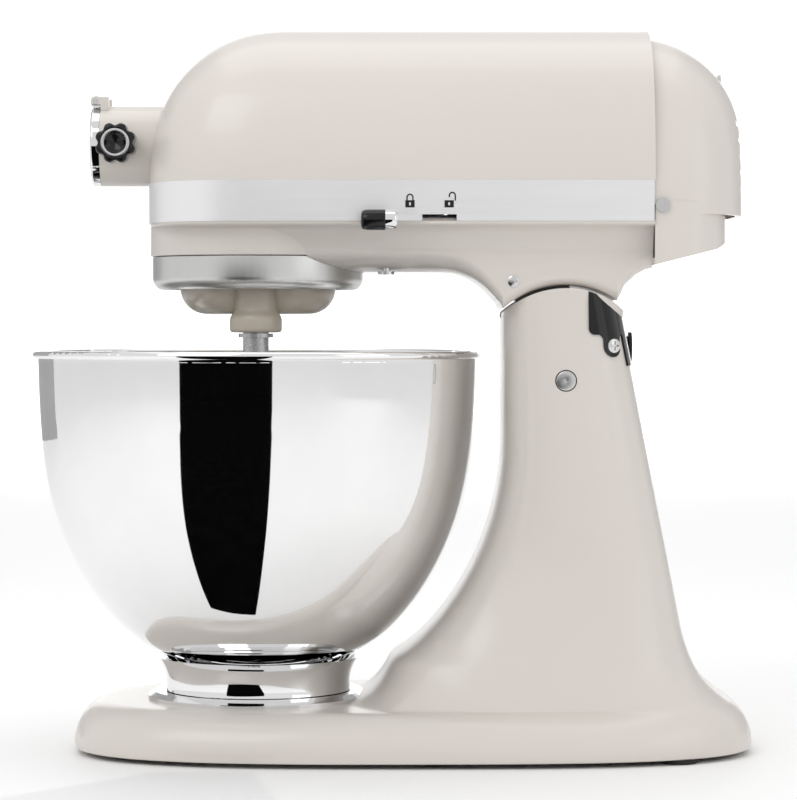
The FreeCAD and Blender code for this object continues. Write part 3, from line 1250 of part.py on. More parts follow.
NODES = {
    "pedestal_casting": pedestal_casting,
    "rubber_feet": rubber_feet,
    "bowl_clamp_plate": bowl_clamp_plate,
    "clamp_plate_screws": clamp_plate_screws,
    "hinge_pin": hinge_pin,
    "rear_cover": rear_cover,
    "cord_gland": cord_gland,
    "rear_cover_screws": rear_cover_screws,
    "lock_catch": lock_catch,
    "upper_housing": upper_housing,
    "lower_housing": lower_housing,
    "end_cover": end_cover,
    "end_cover_screw": end_cover_screw,
    "trim_band": trim_band,
    "band_screws": band_screws,
    "drip_ring": drip_ring,
    "ring_gear": ring_gear,
    "centre_bearing": centre_bearing,
    "idler_bearing": idler_bearing,
    "hub_bearing": hub_bearing,
    "motor_stator": motor_stator,
    "field_windings": field_windings,
    "motor_brushes": motor_brushes,
    "brush_holders": brush_holders,
    "motor_bearings": motor_bearings,
    "front_bearing_bracket": front_bearing_bracket,
    "rear_bearing_bracket": rear_bearing_bracket,
    "speed_control_plate": speed_control_plate,
    "underside_screw": underside_screw,
    "hub_cap_pin": hub_cap_pin,
    "planetary_carrier": planetary_carrier,
    "centre_shaft": centre_shaft,
    "centre_gear": centre_gear,
    "centre_bevel": centre_bevel,
    "agitator_shaft": agitator_shaft,
    "agitator_pinion": agitator_pinion,
    "agitator_pin": agitator_pin,
    "agitator_collar": agitator_collar,
    "idler_shaft": idler_shaft,
    "idler_pinion": idler_pinion,
    "worm_wheel": worm_wheel,
    "armature_shaft": armature_shaft,
    "armature_core": armature_core,
    "commutator": commutator,
    "cooling_fan": cooling_fan,
    "governor_disc": governor_disc,
    "hub_drive_shaft": hub_drive_shaft,
    "hub_bevel": hub_bevel,
    "hub_cap": hub_cap,
    "hub_knob": hub_knob,
    "hub_knob_stem": hub_knob_stem,
    "lock_knob": lock_knob,
    "lock_rod": lock_rod,
    "speed_knob": speed_knob,
    "speed_link": speed_link,
    "bowl_shell": bowl_shell,
    "bowl_foot": bowl_foot,
}


def save(shape, node):
    shape.exportStep(os.path.join("parts", node + ".step"))


def main():
    os.makedirs("parts", exist_ok=True)
    for node, make in NODES.items():
        save(make(), node)


if __name__ == "__main__":
    main()
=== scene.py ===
import json
import math

import bmesh
import bpy
import numpy as np
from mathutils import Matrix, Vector


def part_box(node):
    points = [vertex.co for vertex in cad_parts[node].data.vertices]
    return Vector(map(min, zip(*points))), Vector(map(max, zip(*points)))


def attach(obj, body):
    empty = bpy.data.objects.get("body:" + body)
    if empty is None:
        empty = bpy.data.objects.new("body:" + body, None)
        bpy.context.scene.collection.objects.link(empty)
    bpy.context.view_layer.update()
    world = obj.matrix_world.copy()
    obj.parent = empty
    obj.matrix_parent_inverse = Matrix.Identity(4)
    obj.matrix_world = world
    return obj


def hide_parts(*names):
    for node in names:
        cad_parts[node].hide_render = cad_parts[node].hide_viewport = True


bl_info = {
    "name": "Tilt-head stand mixer",
    "version": (1, 0, 0),
    "blender": (4, 5, 0),
    "location": "View3D > Sidebar > Mixer",
    "description": "Builds the visible pieces of a tilt-head stand mixer around its packed frame",
    "category": "Object",
}

# The frame is in metres, +Z up, nose towards -X, lock lever on the -Y side.
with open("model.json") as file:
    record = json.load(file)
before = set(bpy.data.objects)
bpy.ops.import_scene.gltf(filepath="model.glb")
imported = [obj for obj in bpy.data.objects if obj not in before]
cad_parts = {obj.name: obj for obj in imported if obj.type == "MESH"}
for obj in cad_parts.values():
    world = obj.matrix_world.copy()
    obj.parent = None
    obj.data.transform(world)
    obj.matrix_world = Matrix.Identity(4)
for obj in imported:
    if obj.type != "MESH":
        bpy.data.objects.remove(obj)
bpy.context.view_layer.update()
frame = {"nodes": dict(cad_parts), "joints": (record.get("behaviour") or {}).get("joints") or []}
MM = 0.001


def mm_box(name):
    """Lowest and highest corners of a frame node as two arrays, in millimetres."""
    low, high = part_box(name)
    return np.array(low, dtype=float) / MM, np.array(high, dtype=float) / MM


BOWL_MIDDLE = [0.5 * (low + high) for low, high in zip(*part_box("bowl_shell"))]


# ================================================================ shader helpers
class Wire:
    """One shader value with Python arithmetic; each expression adds its Math node."""

    def __init__(self, tree, socket):
        self.tree = tree
        self.socket = socket

    def join(self, operation, first, second):
        node = self.tree.nodes.new("ShaderNodeMath")
        node.operation = operation
        for place, item in zip(node.inputs, (first, second)):
            if isinstance(item, Wire):
                self.tree.links.new(item.socket, place)
            else:
                place.default_value = item
        return Wire(self.tree, node.outputs[0])

    def __add__(self, other):
        return self.join("ADD", self, other)

    def __mul__(self, other):
        return self.join("MULTIPLY", self, other)

    __radd__ = __add__
    __rmul__ = __mul__


class Finish:
    """A material under way on one Principled shader."""

    def __init__(self, name, roughness, metallic=0.0, fixed=None):
        self.material = bpy.data.materials.new(name)
        self.material.use_nodes = True
        self.tree = self.material.node_tree
        self.shader = self.tree.nodes["Principled BSDF"]
        self.shader.inputs["Roughness"].default_value = roughness
        self.shader.inputs["Metallic"].default_value = metallic
        for socket, value in (fixed or {}).items():
            self.shader.inputs[socket].default_value = value

    def node(self, kind, settings=None, inputs=None, output=0):
        """Adds a node: settings first, then its sockets' values or links."""
        node = self.tree.nodes.new(kind)
        for key, value in (settings or {}).items():
            if key == "stops":
                for element, (place, colour) in zip(node.color_ramp.elements, value):
                    element.position = place
                    element.color = colour
            else:
                setattr(node, key, value)
        for key, value in (inputs or {}).items():
            if isinstance(value, Wire):
                self.tree.links.new(value.socket, node.inputs[key])
            else:
                node.inputs[key].default_value = value
        return Wire(self.tree, node.outputs[output])

    def place(self, scale=(1.0, 1.0, 1.0)):
        """Object coordinates stretched by scale."""
        where = self.node("ShaderNodeTexCoord", output=3)
        return self.node("ShaderNodeMapping", {}, {"Vector": where, "Scale": scale})

    def noise(self, scale, detail=2.0, stretch=(1.0, 1.0, 1.0)):
        """Cloudy pattern; scale is in clumps to the metre."""
        return self.node("ShaderNodeTexNoise", {},
                         {"Vector": self.place(stretch), "Scale": scale, "Detail": detail})

    def between(self, factor, first, second):
        """Colour mixed by a factor from first to second."""
        return self.node("ShaderNodeMix", {"data_type": "RGBA"},
                         {0: factor, 6: (*first, 1.0), 7: (*second, 1.0)}, output=2)

    def bump(self, height, strength, distance):
        return self.node("ShaderNodeBump", {},
                         {"Height": height, "Strength": strength, "Distance": distance})

    def link(self, socket, wire):
        self.tree.links.new(wire.socket, self.shader.inputs[socket])


def enamel(name, colour, shade):
    """Thick gloss paint on a casting: a faint cloudiness and a fine orange-peel surface."""
    finish = Finish(name, 0.34, 0.0, {"Coat Weight": 0.35, "Coat Roughness": 0.12, "IOR": 1.5})
    cloud = finish.noise(9.0, 3.0)
    finish.link("Base Color", finish.between(cloud, colour, shade))
    finish.link("Roughness", 0.30 + 0.10 * finish.noise(60.0, 2.0))
    finish.link("Normal", finish.bump(finish.noise(700.0, 1.0), 0.06, 0.0002))
    return finish.material


def metal(name, colour, roughness, stretch=(1.0, 1.0, 1.0), grain=400.0, depth=0.04,
          metallic=1.0):
    """Bare or plated metal with fine lines along the least stretched axis."""
    finish = Finish(name, roughness, metallic)
    lines = finish.noise(grain, 3.0, stretch)
    darker = tuple(0.93 * part for part in colour)
    finish.link("Base Color", finish.between(lines, darker, colour))
    finish.link("Roughness", roughness * 0.7 + 0.6 * roughness * lines)
    finish.link("Normal", finish.bump(lines, depth, 0.0001))
    return finish.material


def plastic(name, colour, roughness, coat=0.0):
    """Moulded plastic or rubber with a faint grain and small changes of gloss."""
    finish = Finish(name, roughness, 0.0, {"Coat Weight": coat, "Coat Roughness": 0.05,
                                           "Specular IOR Level": 0.3})
    grain = finish.noise(900.0, 2.0)
    lighter = tuple(min(1.0, part * 1.25 + 0.004) for part in colour)
    finish.link("Base Color", finish.between(finish.noise(45.0, 2.0), colour, lighter))
    finish.link("Roughness", roughness * 0.8 + 0.4 * roughness * finish.noise(120.0))
    finish.link("Normal", finish.bump(grain, 0.08, 0.0001))
    return finish.material


ALONG_X = (0.02, 1.0, 1.0)
ALONG_Z = (1.0, 1.0, 0.02)


def make_finishes(paint, paint_shade):
    """One material for each finish slot of the record."""
    return {
        "body_paint": enamel("body_paint", paint, paint_shade),
        "carrier_paint": enamel("carrier_paint", (0.60, 0.535, 0.45), (0.56, 0.495, 0.41)),
        "foot_rubber": plastic("foot_rubber", (0.02, 0.02, 0.02), 0.7),
        "plate_chrome": metal("plate_chrome", (0.86, 0.86, 0.87), 0.05, grain=60.0, depth=0.01),
        "band_satin": metal("band_satin", (0.95, 0.95, 0.96), 0.40, ALONG_X, 1500.0, 0.02, 0.72),
        "ring_satin": metal("ring_satin", (0.70, 0.70, 0.69), 0.32, ALONG_Z, 500.0),
        "bowl_steel": metal("bowl_steel", (0.93, 0.93, 0.93), 0.03, grain=40.0, depth=0.004),
        "screw_steel": metal("screw_steel", (0.72, 0.72, 0.72), 0.22),
        "rod_chrome": metal("rod_chrome", (0.86, 0.86, 0.87), 0.06, grain=60.0, depth=0.01),
        "black_plastic": plastic("black_plastic", (0.003, 0.003, 0.0033), 0.14, 0.15),
        "black_rubber": plastic("black_rubber", (0.02, 0.02, 0.02), 0.6),
        "board_plastic": plastic("board_plastic", (0.25, 0.17, 0.08), 0.5),
        "fan_plastic": plastic("fan_plastic", (0.05, 0.05, 0.055), 0.45),
        "carbon": plastic("carbon", (0.03, 0.03, 0.03), 0.55),
        "brass_parts": metal("brass_parts", (0.78, 0.58, 0.26), 0.25),
        "copper_parts": metal("copper_parts", (0.77, 0.38, 0.22), 0.32, ALONG_X, 900.0, 0.3),
        "gear_bronze": metal("gear_bronze", (0.70, 0.50, 0.26), 0.3),
        "gear_steel": metal("gear_steel", (0.52, 0.52, 0.53), 0.28),
        "bracket_alloy": metal("bracket_alloy", (0.58, 0.58, 0.58), 0.45, depth=0.2),
    }


FINISHES = {}


# ================================================================ stage
class StageSettings(bpy.types.PropertyGroup):
    """Camera, floor and lights."""

    camera_place: bpy.props.FloatVectorProperty(
        name="Camera place", description="Where the camera stands", subtype="TRANSLATION",
        unit="LENGTH", size=3, default=(0.00395, -1.55, 0.210))
    camera_pitch: bpy.props.FloatProperty(
        name="Camera pitch", description="How far the camera looks down", subtype="ANGLE",
        unit="ROTATION", default=math.radians(1.41))
    flag_left: bpy.props.FloatProperty(
        name="Flag left", description="Heading of the flag's left edge from the bowl",
        subtype="ANGLE", unit="ROTATION", default=math.radians(-37.0))
    flag_right: bpy.props.FloatProperty(
        name="Flag right", description="Heading of the flag's right edge from the bowl",
        subtype="ANGLE", unit="ROTATION", default=math.radians(9.5))
    flag_reach: bpy.props.FloatProperty(
        name="Flag distance", description="Distance from the bowl to the flag",
        unit="LENGTH", default=1.9)
    flag_height: bpy.props.FloatProperty(
        name="Flag height", description="Height of the standing flag", unit="LENGTH",
        default=0.25)
    lens: bpy.props.FloatProperty(
        name="Lens", description="Focal length in millimetres on a 36 mm sensor", default=140.9)


LIGHT_TARGET = (0.0, 0.0, 0.2)


def soft_light(name, place, size, power):
    """Oblong area light aimed at the middle of the mixer."""
    data = bpy.data.lights.new(name, "AREA")
    data.shape = "RECTANGLE"
    data.size, data.size_y = size
    data.energy = power
    light = bpy.data.objects.new(name, data)
    light.location = place
    aim = Vector(LIGHT_TARGET) - Vector(place)
    light.rotation_euler = aim.to_track_quat("-Z", "Y").to_euler()
    bpy.context.scene.collection.objects.link(light)


def stage_sheet(name, corners, material, seen_by_camera):
    """Flat sheet of the set; a sheet that the camera doesn't see shows only in reflections."""
    mesh = bpy.data.meshes.new(name)
    mesh.from_pydata(corners, [], [tuple(range(len(corners)))])
    mesh.materials.append(material)
    sheet = bpy.data.objects.new(name, mesh)
    bpy.context.scene.collection.objects.link(sheet)
    if not seen_by_camera:
        sheet.visible_camera = False
        sheet.visible_diffuse = False
        sheet.visible_shadow = False
        sheet.visible_transmission = False


def stage_sheets(settings):
    """White backdrop, grey cards at the sides, and dark flags that stand before the bowl and lie
    on the floor there."""
    glow = Finish("backdrop_white", 1.0, 0.0, {"Emission Strength": 1.0})
    glow.link("Emission Color", glow.between(glow.noise(1.0), (1.0, 1.0, 1.0), (0.98, 0.98, 0.98)))
    far, half, low, high = 3.4, 1.1, -0.2, 1.6
    stage_sheet("backdrop", [(-half, far, low), (half, far, low), (half, far, high),
                             (-half, far, high)], glow.material, True)
    dark = Finish("flag_black", 1.0, 0.0, {"Specular IOR Level": 0.0})
    dark.link("Base Color", dark.between(dark.noise(30.0), (0.001, 0.001, 0.001),
                                         (0.004, 0.004, 0.004)))
    grey = Finish("card_grey", 1.0, 0.0, {"Specular IOR Level": 0.0})
    grey.link("Base Color", grey.between(grey.noise(3.0), (0.40, 0.40, 0.40),
                                         (0.46, 0.46, 0.46)))
    card_height = 2.2
    for side in (-1.0, 1.0):
        near_edge, far_edge = (side * 1.3, 0.9), (side * 1.0, 2.6)
        stage_sheet("side_card", [(*near_edge, 0.0), (*far_edge, 0.0), (*far_edge, card_height),
                                  (*near_edge, card_height)], grey.material, False)
    x, y = BOWL_MIDDLE[0], BOWL_MIDDLE[1]
    reach = settings.flag_reach
    left, right = settings.flag_left, settings.flag_right
    gap = 0.004
    tip_left, tip_right = -0.046, 0.001
    lift = 0.001
    near_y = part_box("pedestal_casting")[0][1] - gap
    ends = [(x + tip_left, near_y), (x + tip_right, near_y)]
    ends += [(x + math.sin(turn) * reach, y - math.cos(turn) * reach) for turn in (right, left)]
    stage_sheet("floor_flag", [(*end, lift) for end in ends], dark.material, False)
    stage_sheet("front_flag", [(*ends[3], 0.0), (*ends[2], 0.0),
                               (*ends[2], settings.flag_height),
                               (*ends[3], settings.flag_height)], dark.material, False)


class MIXER_OT_stage(bpy.types.Operator):
    """Sets up the floor, the studio light and the camera"""

    bl_idname = "mixer.stage"
    bl_label = "Stage"

    def execute(self, context):
        settings = context.scene.mixer_stage
        scene = context.scene
        world = bpy.data.worlds.new("studio")
        world.use_nodes = True
        background = world.node_tree.nodes["Background"]
        background.inputs["Color"].default_value = (1.0, 1.0, 1.0, 1.0)
        background.inputs["Strength"].default_value = 0.80
        scene.world = world

        half = 6.0
        corners = [(-half, -half, 0.0), (half, -half, 0.0), (half, half, 0.0), (-half, half, 0.0)]
        mesh = bpy.data.meshes.new("floor")
        mesh.from_pydata(corners, [], [(0, 1, 2, 3)])
        floor = bpy.data.objects.new("floor", mesh)
        scene.collection.objects.link(floor)
        pale = Finish("floor_pale", 0.6)
        pale.link("Base Color", pale.between(pale.noise(1.5), (0.93, 0.93, 0.93),
                                             (0.96, 0.96, 0.96)))
        mesh.materials.append(pale.material)

        soft_light("key", (-0.9, -1.3, 1.5), (1.2, 0.9), 7.0)
        soft_light("top", (0.0, 0.2, 1.7), (1.6, 1.2), 6.0)
        soft_light("fill", (1.5, -1.0, 0.8), (0.9, 1.2), 2.0)
        scene.view_settings.view_transform = "Standard"
        stage_sheets(settings)

        data = bpy.data.cameras.new("camera")
        data.sensor_width = 36.0
        data.lens = settings.lens
        data.clip_end = 20.0
        camera = bpy.data.objects.new("camera", data)
        camera.location = settings.camera_place
        camera.rotation_euler = (math.radians(90.0) - settings.camera_pitch, 0.0, 0.0)
        scene.collection.objects.link(camera)
        scene.camera = camera
        return {"FINISHED"}


# ================================================================ frame finishes
class PaintSettings(bpy.types.PropertyGroup):
    """Colours of the paint."""

    paint: bpy.props.FloatVectorProperty(
        name="Paint", description="Enamel of the castings", subtype="COLOR", size=3,
        min=0.0, max=1.0, default=(0.70, 0.655, 0.61))
    shade: bpy.props.FloatVectorProperty(
        name="Shade", description="Slightly darker clouds in the enamel", subtype="COLOR", size=3,
        min=0.0, max=1.0, default=(0.68, 0.635, 0.59))


class MIXER_OT_finishes(bpy.types.Operator):
    """Gives every frame node its material"""

    bl_idname = "mixer.finishes"
    bl_label = "Finishes"

    def execute(self, context):
        settings = context.scene.mixer_paint
        FINISHES.update(make_finishes(tuple(settings.paint), tuple(settings.shade)))
        for name, item in frame["nodes"].items():
            for slot in item.material_slots:
                key = slot.material.name.split(".")[0]
                if key not in FINISHES:
                    raise RuntimeError(f"node {name} has the unknown finish {key}")
                slot.material = FINISHES[key]
        return {"FINISHED"}


# ================================================================ surfaces
def lay_grid(points, around=False, poles=(False, False)):
    """Vertices and blocks of faces of a grid of points (rows, columns, 3): neighbouring rows are
    joined by four-sided faces, around closes every row on itself, and poles closes an end with a
    fan."""
    rows, columns = points.shape[:2]
    index = np.arange(rows * columns).reshape(rows, columns)
    if around:
        index = np.concatenate([index, index[:, :1]], axis=1)
    corners = (index[:-1, :-1], index[:-1, 1:], index[1:, 1:], index[1:, :-1])
    blocks = [np.stack(corners, axis=-1).reshape(-1, 4)]
    vertices = points.reshape(-1, 3)
    for row, wanted in zip((0, -1), poles):
        if wanted:
            hub = len(vertices)
            vertices = np.vstack([vertices, points[row].mean(axis=0)])
            ring = index[row]
            order = (ring[1:], ring[:-1]) if row == 0 else (ring[:-1], ring[1:])
            blocks.append(np.stack([np.full(len(ring) - 1, hub), *order], axis=-1))
    return vertices, blocks


def lathe(profile, centre, axis="Z", columns=96):
    """Closed profile of (radius, height) points carried round an axis: at each angle the point
    lies at centre + height along the axis + radius in the turned direction."""
    profile = np.asarray(profile, dtype=float)
    profile = np.vstack([profile, profile[:1]])
    angle = np.linspace(0.0, 2 * np.pi, columns, endpoint=False)
    radius, height = profile[:, :1], profile[:, 1:2]
    level = np.broadcast_to(height, (len(profile), columns))
    first, second = radius * np.cos(angle), radius * np.sin(angle)
    order = {"Z": (first, second, level), "X": (level, first, second), "Y": (second, level, first)}
    return np.stack(order[axis], axis=-1) + np.asarray(centre, dtype=float)


def rounded(corners, radius, steps=6):
    """Polygon whose corners are replaced by curves: each is the quadratic curve from a point
    radius before the corner to a point radius after it, bent towards the corner."""
    corners = np.asarray(corners, dtype=float)
    before = np.roll(corners, 1, axis=0)
    after = np.roll(corners, -1, axis=0)
    share = np.linspace(0.0, 1.0, steps)[:, None, None]
    into = before - corners
    out = after - corners
    into_length = np.linalg.norm(into, axis=1, keepdims=True)
    out_length = np.linalg.norm(out, axis=1, keepdims=True)
    radius = np.broadcast_to(np.asarray(radius, dtype=float).reshape(-1, 1), (len(corners), 1))
    start = corners + into * np.minimum(radius / into_length, 0.49)
    end = corners + out * np.minimum(radius / out_length, 0.49)
    curve = (1 - share) ** 2 * start + 2 * share * (1 - share) * corners + share ** 2 * end
    curve = np.swapaxes(curve, 0, 1)
    return curve.reshape(-1, corners.shape[1])


def grid_mesh(name, grids):
    """One mesh in metres of several grids in millimetres."""
    vertices = np.zeros((0, 3))
    faces = []
    for grid_vertices, blocks in grids:
        for block in blocks:
            faces += (block + len(vertices)).tolist()
        vertices = np.vstack([vertices, grid_vertices * MM])
    mesh = bpy.data.meshes.new(name)
    mesh.from_pydata(vertices.tolist(), [], faces)
    return mesh


def looks_inwards(mesh):
    """Whether an open sheet's faces look, by area, towards the middle of its points."""
    points = np.empty((len(mesh.vertices), 3))
    mesh.vertices.foreach_get("co", points.ravel())
    count = len(mesh.polygons)
    centres, normals, areas = np.empty((count, 3)), np.empty((count, 3)), np.empty(count)
    mesh.polygons.foreach_get("center", centres.ravel())
    mesh.polygons.foreach_get("normal", normals.ravel())
    mesh.polygons.foreach_get("area", areas)
    outward = (normals * (centres - points.mean(axis=0))).sum(axis=1)
    return (outward * areas).sum() < 0


def make_piece(name, body, slot, grids, stands_for=(), crease=38.0, wall=0.0, cutters=()):
    """One finished object in millimetre grids: merged, turned outwards, and shaded smooth except
    over edges sharper than the crease angle. wall thickens an open sheet inwards, and each grid
    of cutters is taken out."""
    mesh = grid_mesh(name, grids)
    work = bmesh.new()
    work.from_mesh(mesh)
    bmesh.ops.remove_doubles(work, verts=work.verts, dist=1e-6)
    bmesh.ops.dissolve_degenerate(work, edges=work.edges, dist=1e-7)
    bmesh.ops.recalc_face_normals(work, faces=work.faces)
    work.to_mesh(mesh)
    if wall and looks_inwards(mesh):
        bmesh.ops.reverse_faces(work, faces=work.faces)
        work.to_mesh(mesh)
    work.free()
    item = bpy.data.objects.new(name, mesh)
    bpy.context.scene.collection.objects.link(item)
    if wall:
        shell = item.modifiers.new("wall", "SOLIDIFY")
        shell.thickness = wall * MM
        shell.offset = -1.0
    for cutter in cutters:
        cut_with(item, cutter)
    if wall or cutters:
        bake_modifiers(item)
    item.data.shade_smooth()
    item.data.set_sharp_from_angle(angle=math.radians(crease))
    item.data.materials.append(FINISHES[slot])
    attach(item, body)
    if stands_for:
        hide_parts(*stands_for)
    return item


def box_grid(low, high):
    """Closed box between two corners, as a ring of four corners at two levels."""
    right = np.array([0, 1, 1, 0])
    back = np.array([0, 0, 1, 1])
    top = np.array([[0], [1]])
    share = np.stack(np.broadcast_arrays(right, back, top), axis=-1)
    points = np.where(share == 1, np.asarray(high, dtype=float), np.asarray(low, dtype=float))
    return lay_grid(points, True, (True, True))


def cut_with(item, grid):
    """Takes a closed grid out of a piece."""
    mesh = grid_mesh("cutter", [grid])
    work = bmesh.new()
    work.from_mesh(mesh)
    bmesh.ops.recalc_face_normals(work, faces=work.faces)
    work.to_mesh(mesh)
    work.free()
    cutter = bpy.data.objects.new("cutter", mesh)
    bpy.context.scene.collection.objects.link(cutter)
    cut = item.modifiers.new("cut", "BOOLEAN")
    cut.operation = "DIFFERENCE"
    cut.solver = "EXACT"
    cut.object = cutter


def bake_modifiers(item):
    """Puts the result of the modifiers into the mesh and removes them and their cutters."""
    cutters = [m.object for m in item.modifiers if m.type == "BOOLEAN"]
    graph = bpy.context.evaluated_depsgraph_get()
    result = bpy.data.meshes.new_from_object(item.evaluated_get(graph))
    item.modifiers.clear()
    result.name = item.name
    item.data = result
    for cutter in cutters:
        bpy.data.objects.remove(cutter)


def level_reach(cosine, sine, origin_x, low_x, high_x, half_width, power):
    """Distance from (origin_x, 0) to a level superellipse along each heading, by halving: inside
    where |x / half length| ** power + |y / half width| ** power is under 1."""
    shape = np.broadcast(cosine, low_x, high_x, half_width).shape
    near = np.zeros(shape)
    far = np.full(shape, 400.0)
    middle_x = (low_x + high_x) / 2
    half_length = (high_x - low_x) / 2
    for _ in range(34):
        trial = (near + far) / 2
        x = np.abs((origin_x + trial * cosine - middle_x) / half_length)
        y = np.abs(trial * sine / half_width)
        inside = x ** power + y ** power < 1.0
        near = np.where(inside, trial, near)
        far = np.where(inside, far, trial)
    return near


# ================================================================ pedestal
HINGE = np.array(next(j["pos_m"] for j in frame["joints"] if j["name"] == "head_tilt")) / MM
BOWL = np.array(next(j["pos_m"] for j in frame["joints"] if j["name"] == "bowl_twist")) / MM
BASE_LOW, BASE_HIGH = mm_box("pedestal_casting")


COLUMN_MIDDLE_X = 86.0
COLUMN_POWER = 3.4
COLUMN_HALF_WIDTH = 46.0
COLUMN_FRONT_X = 54.2
COLUMN_REAR_X = 117.0
COLUMN_REAR_Z = 192.2
COLUMN_REAR_SLOPE = 0.1965
SWEEP_RADIUS = 136.0
SWEEP_TOP_Z = 152.8
SWEEP_LOW_Z = 46.0
SKIRT_RADIUS = 73.0
SKIRT_TOP_Z = 62.0
TAIL_TOP_Z = 43.0
FLARE_TOP_Z = 110.0
FLARE_DEPTH = 85.0
FLARE_WIDTH = 18.0
BASE_POWER = 3.0
BASE_EDGE_Z = 5.0
HEADINGS = 240
LUG_GAP_HALF = 13.0
LUG_GAP_Z = HINGE[2] + 30.5
LUG_GAP_REAR_Z = HINGE[2] + 18.8


class PedestalSettings(bpy.types.PropertyGroup):
    """Sizes of the base and column in millimetres."""

    shoulder: bpy.props.FloatProperty(
        name="Shoulder", description="How far the base's rounded top edge reaches in, mm",
        default=17.0)
    top: bpy.props.FloatProperty(
        name="Base top", description="Height of the base's top face, mm", default=25.0)
    wall: bpy.props.FloatProperty(
        name="Wall", description="Thickness of the casting, mm", default=4.0)
    crown: bpy.props.FloatProperty(
        name="Crown", description="Radius of the column's round top about the hinge, mm",
        default=44.5)


def column_front(z):
    """Front line of the column: an arc of 136 mm radius round the bowl, upright above it."""
    drop = np.maximum(0.0, SWEEP_TOP_Z - np.maximum(z, SWEEP_LOW_Z))
    return COLUMN_FRONT_X - SWEEP_RADIUS + np.sqrt(SWEEP_RADIUS ** 2 - drop ** 2)


def column_rear(z):
    """Back line of the column: a straight slope with a hollow of 73 mm radius at its foot, which
    runs out quicker at the very bottom."""
    fall = np.maximum(0.0, SKIRT_TOP_Z - z)
    tail = 0.022 * np.maximum(0.0, TAIL_TOP_Z - z) ** 2
    slope = COLUMN_REAR_X + COLUMN_REAR_SLOPE * (COLUMN_REAR_Z - z)
    return slope + SKIRT_RADIUS - np.sqrt(SKIRT_RADIUS ** 2 - fall ** 2) + tail


def column_half(z):
    """Half width of the column: 46 mm at the top, flaring below 110 mm as a power curve."""
    share = np.maximum(0.0, (FLARE_TOP_Z - z) / FLARE_DEPTH)
    return COLUMN_HALF_WIDTH + FLARE_WIDTH * share ** 2.2


def pedestal_rows(settings, inset):
    """Rows from the crown's middle down the column, out over the base and round its edge. Each
    heading from the column's middle has one profile; a hollow shaped as a quarter superellipse
    spreads the column's foot into the base."""
    heading = np.linspace(0.0, 2 * np.pi, HEADINGS, endpoint=False)
    cosine, sine = np.cos(heading), np.sin(heading)
    top = settings.top - inset
    low_z = BASE_LOW[2]

    def column(z):
        return level_reach(cosine, sine, COLUMN_MIDDLE_X, column_front(z) + inset,
                           column_rear(z) - inset, column_half(z) - inset, COLUMN_POWER)

    def base(reach):
        reach = reach + inset
        return level_reach(cosine, sine, COLUMN_MIDDLE_X, BASE_LOW[0] + reach,
                           BASE_HIGH[0] - reach, BASE_HIGH[1] - reach, BASE_POWER)

    def level(z):
        return np.full((1, HEADINGS), z)

    def crown(x):
        inside = (settings.crown - inset) ** 2 - (x - HINGE[0]) ** 2
        return HINGE[2] + np.sqrt(np.maximum(inside, 100.0))

    crown_z = 205.0
    cap_reach = column(level(crown_z)) * np.linspace(0.03, 1.0, 12)[:, None]
    rows = [(cap_reach, crown(COLUMN_MIDDLE_X + cap_reach * cosine))]

    rim = base(level(0.0))
    flat_edge = base(level(settings.shoulder))
    foot = column(level(top))
    widest_spread = 26.0
    spread = np.clip(flat_edge - foot, 0.0, widest_spread)
    front = np.clip(-cosine, 0.0, 1.0) ** 2
    height = 22.0 + 26.0 * (1 - np.abs(cosine)) + 10.0 * front
    fall = np.linspace(0.0, 1.0, 60)[1:, None]
    fall = 1.0 - (1.0 - fall) ** 2
    z = rows[0][1][-1:] + (top - rows[0][1][-1:]) * fall
    share = 1.0 - np.clip((z - top) / height, 0.0, 1.0)
    power = 1.7
    hollow = spread * (1.0 - (1.0 - share ** power) ** (1 / power))
    rows.append((column(z) + hollow, z))

    edge = np.maximum(flat_edge, foot)
    share = np.linspace(0.0, 1.0, 14)[1:, None]
    start = foot + spread
    rows.append((start + (edge - start) * share, np.repeat(level(top), len(share), axis=0)))
    # where the column's foot reaches the base's shoulder, the rounded edge starts lower
    blend = 12.0
    full = np.clip((foot - flat_edge + 0.5 * blend) / blend, 0.0, 1.0)
    first = np.radians(90.0 - 40.0 * full)
    turn = first * np.linspace(1.0, 0.0, 12)[1:, None]
    rows.append((rim - (rim - edge) * (1 - np.cos(turn)) / (1 - np.cos(first)),
                 BASE_EDGE_Z + (top - BASE_EDGE_Z) * np.sin(turn) / np.sin(first)))
    rows.append((rim - 0.6, level(low_z + 0.5)))
    rows.append((rim - 1.6, level(low_z)))
    reach = np.vstack([row[0] for row in rows])
    z = np.vstack([row[1] for row in rows])
    return np.stack([COLUMN_MIDDLE_X + reach * cosine, reach * sine, z], axis=-1)


class MIXER_OT_pedestal(bpy.types.Operator):
    """Base and column as one hollow casting"""

    bl_idname = "mixer.pedestal"
    bl_label = "Pedestal"

    def execute(self, context):
        settings = context.scene.mixer_pedestal
        outside = pedestal_rows(settings, 0.0)
        inside = pedestal_rows(settings, settings.wall)
        points = np.concatenate([outside, inside[::-1]], axis=0)
        past = 60
        cutters = (
            box_grid((HINGE[0] - past, -LUG_GAP_HALF, LUG_GAP_Z),
                     (HINGE[0] + past, LUG_GAP_HALF, HINGE[2] + past)),
            box_grid((HINGE[0], -LUG_GAP_HALF, LUG_GAP_REAR_Z),
                     (HINGE[0] + past, LUG_GAP_HALF, HINGE[2] + past + 1)),
        )
        make_piece("pedestal_skin", "pedestal", "body_paint",
                   [lay_grid(points, True, (True, True))], ("pedestal_casting",),
                   cutters=cutters)
        return {"FINISHED"}


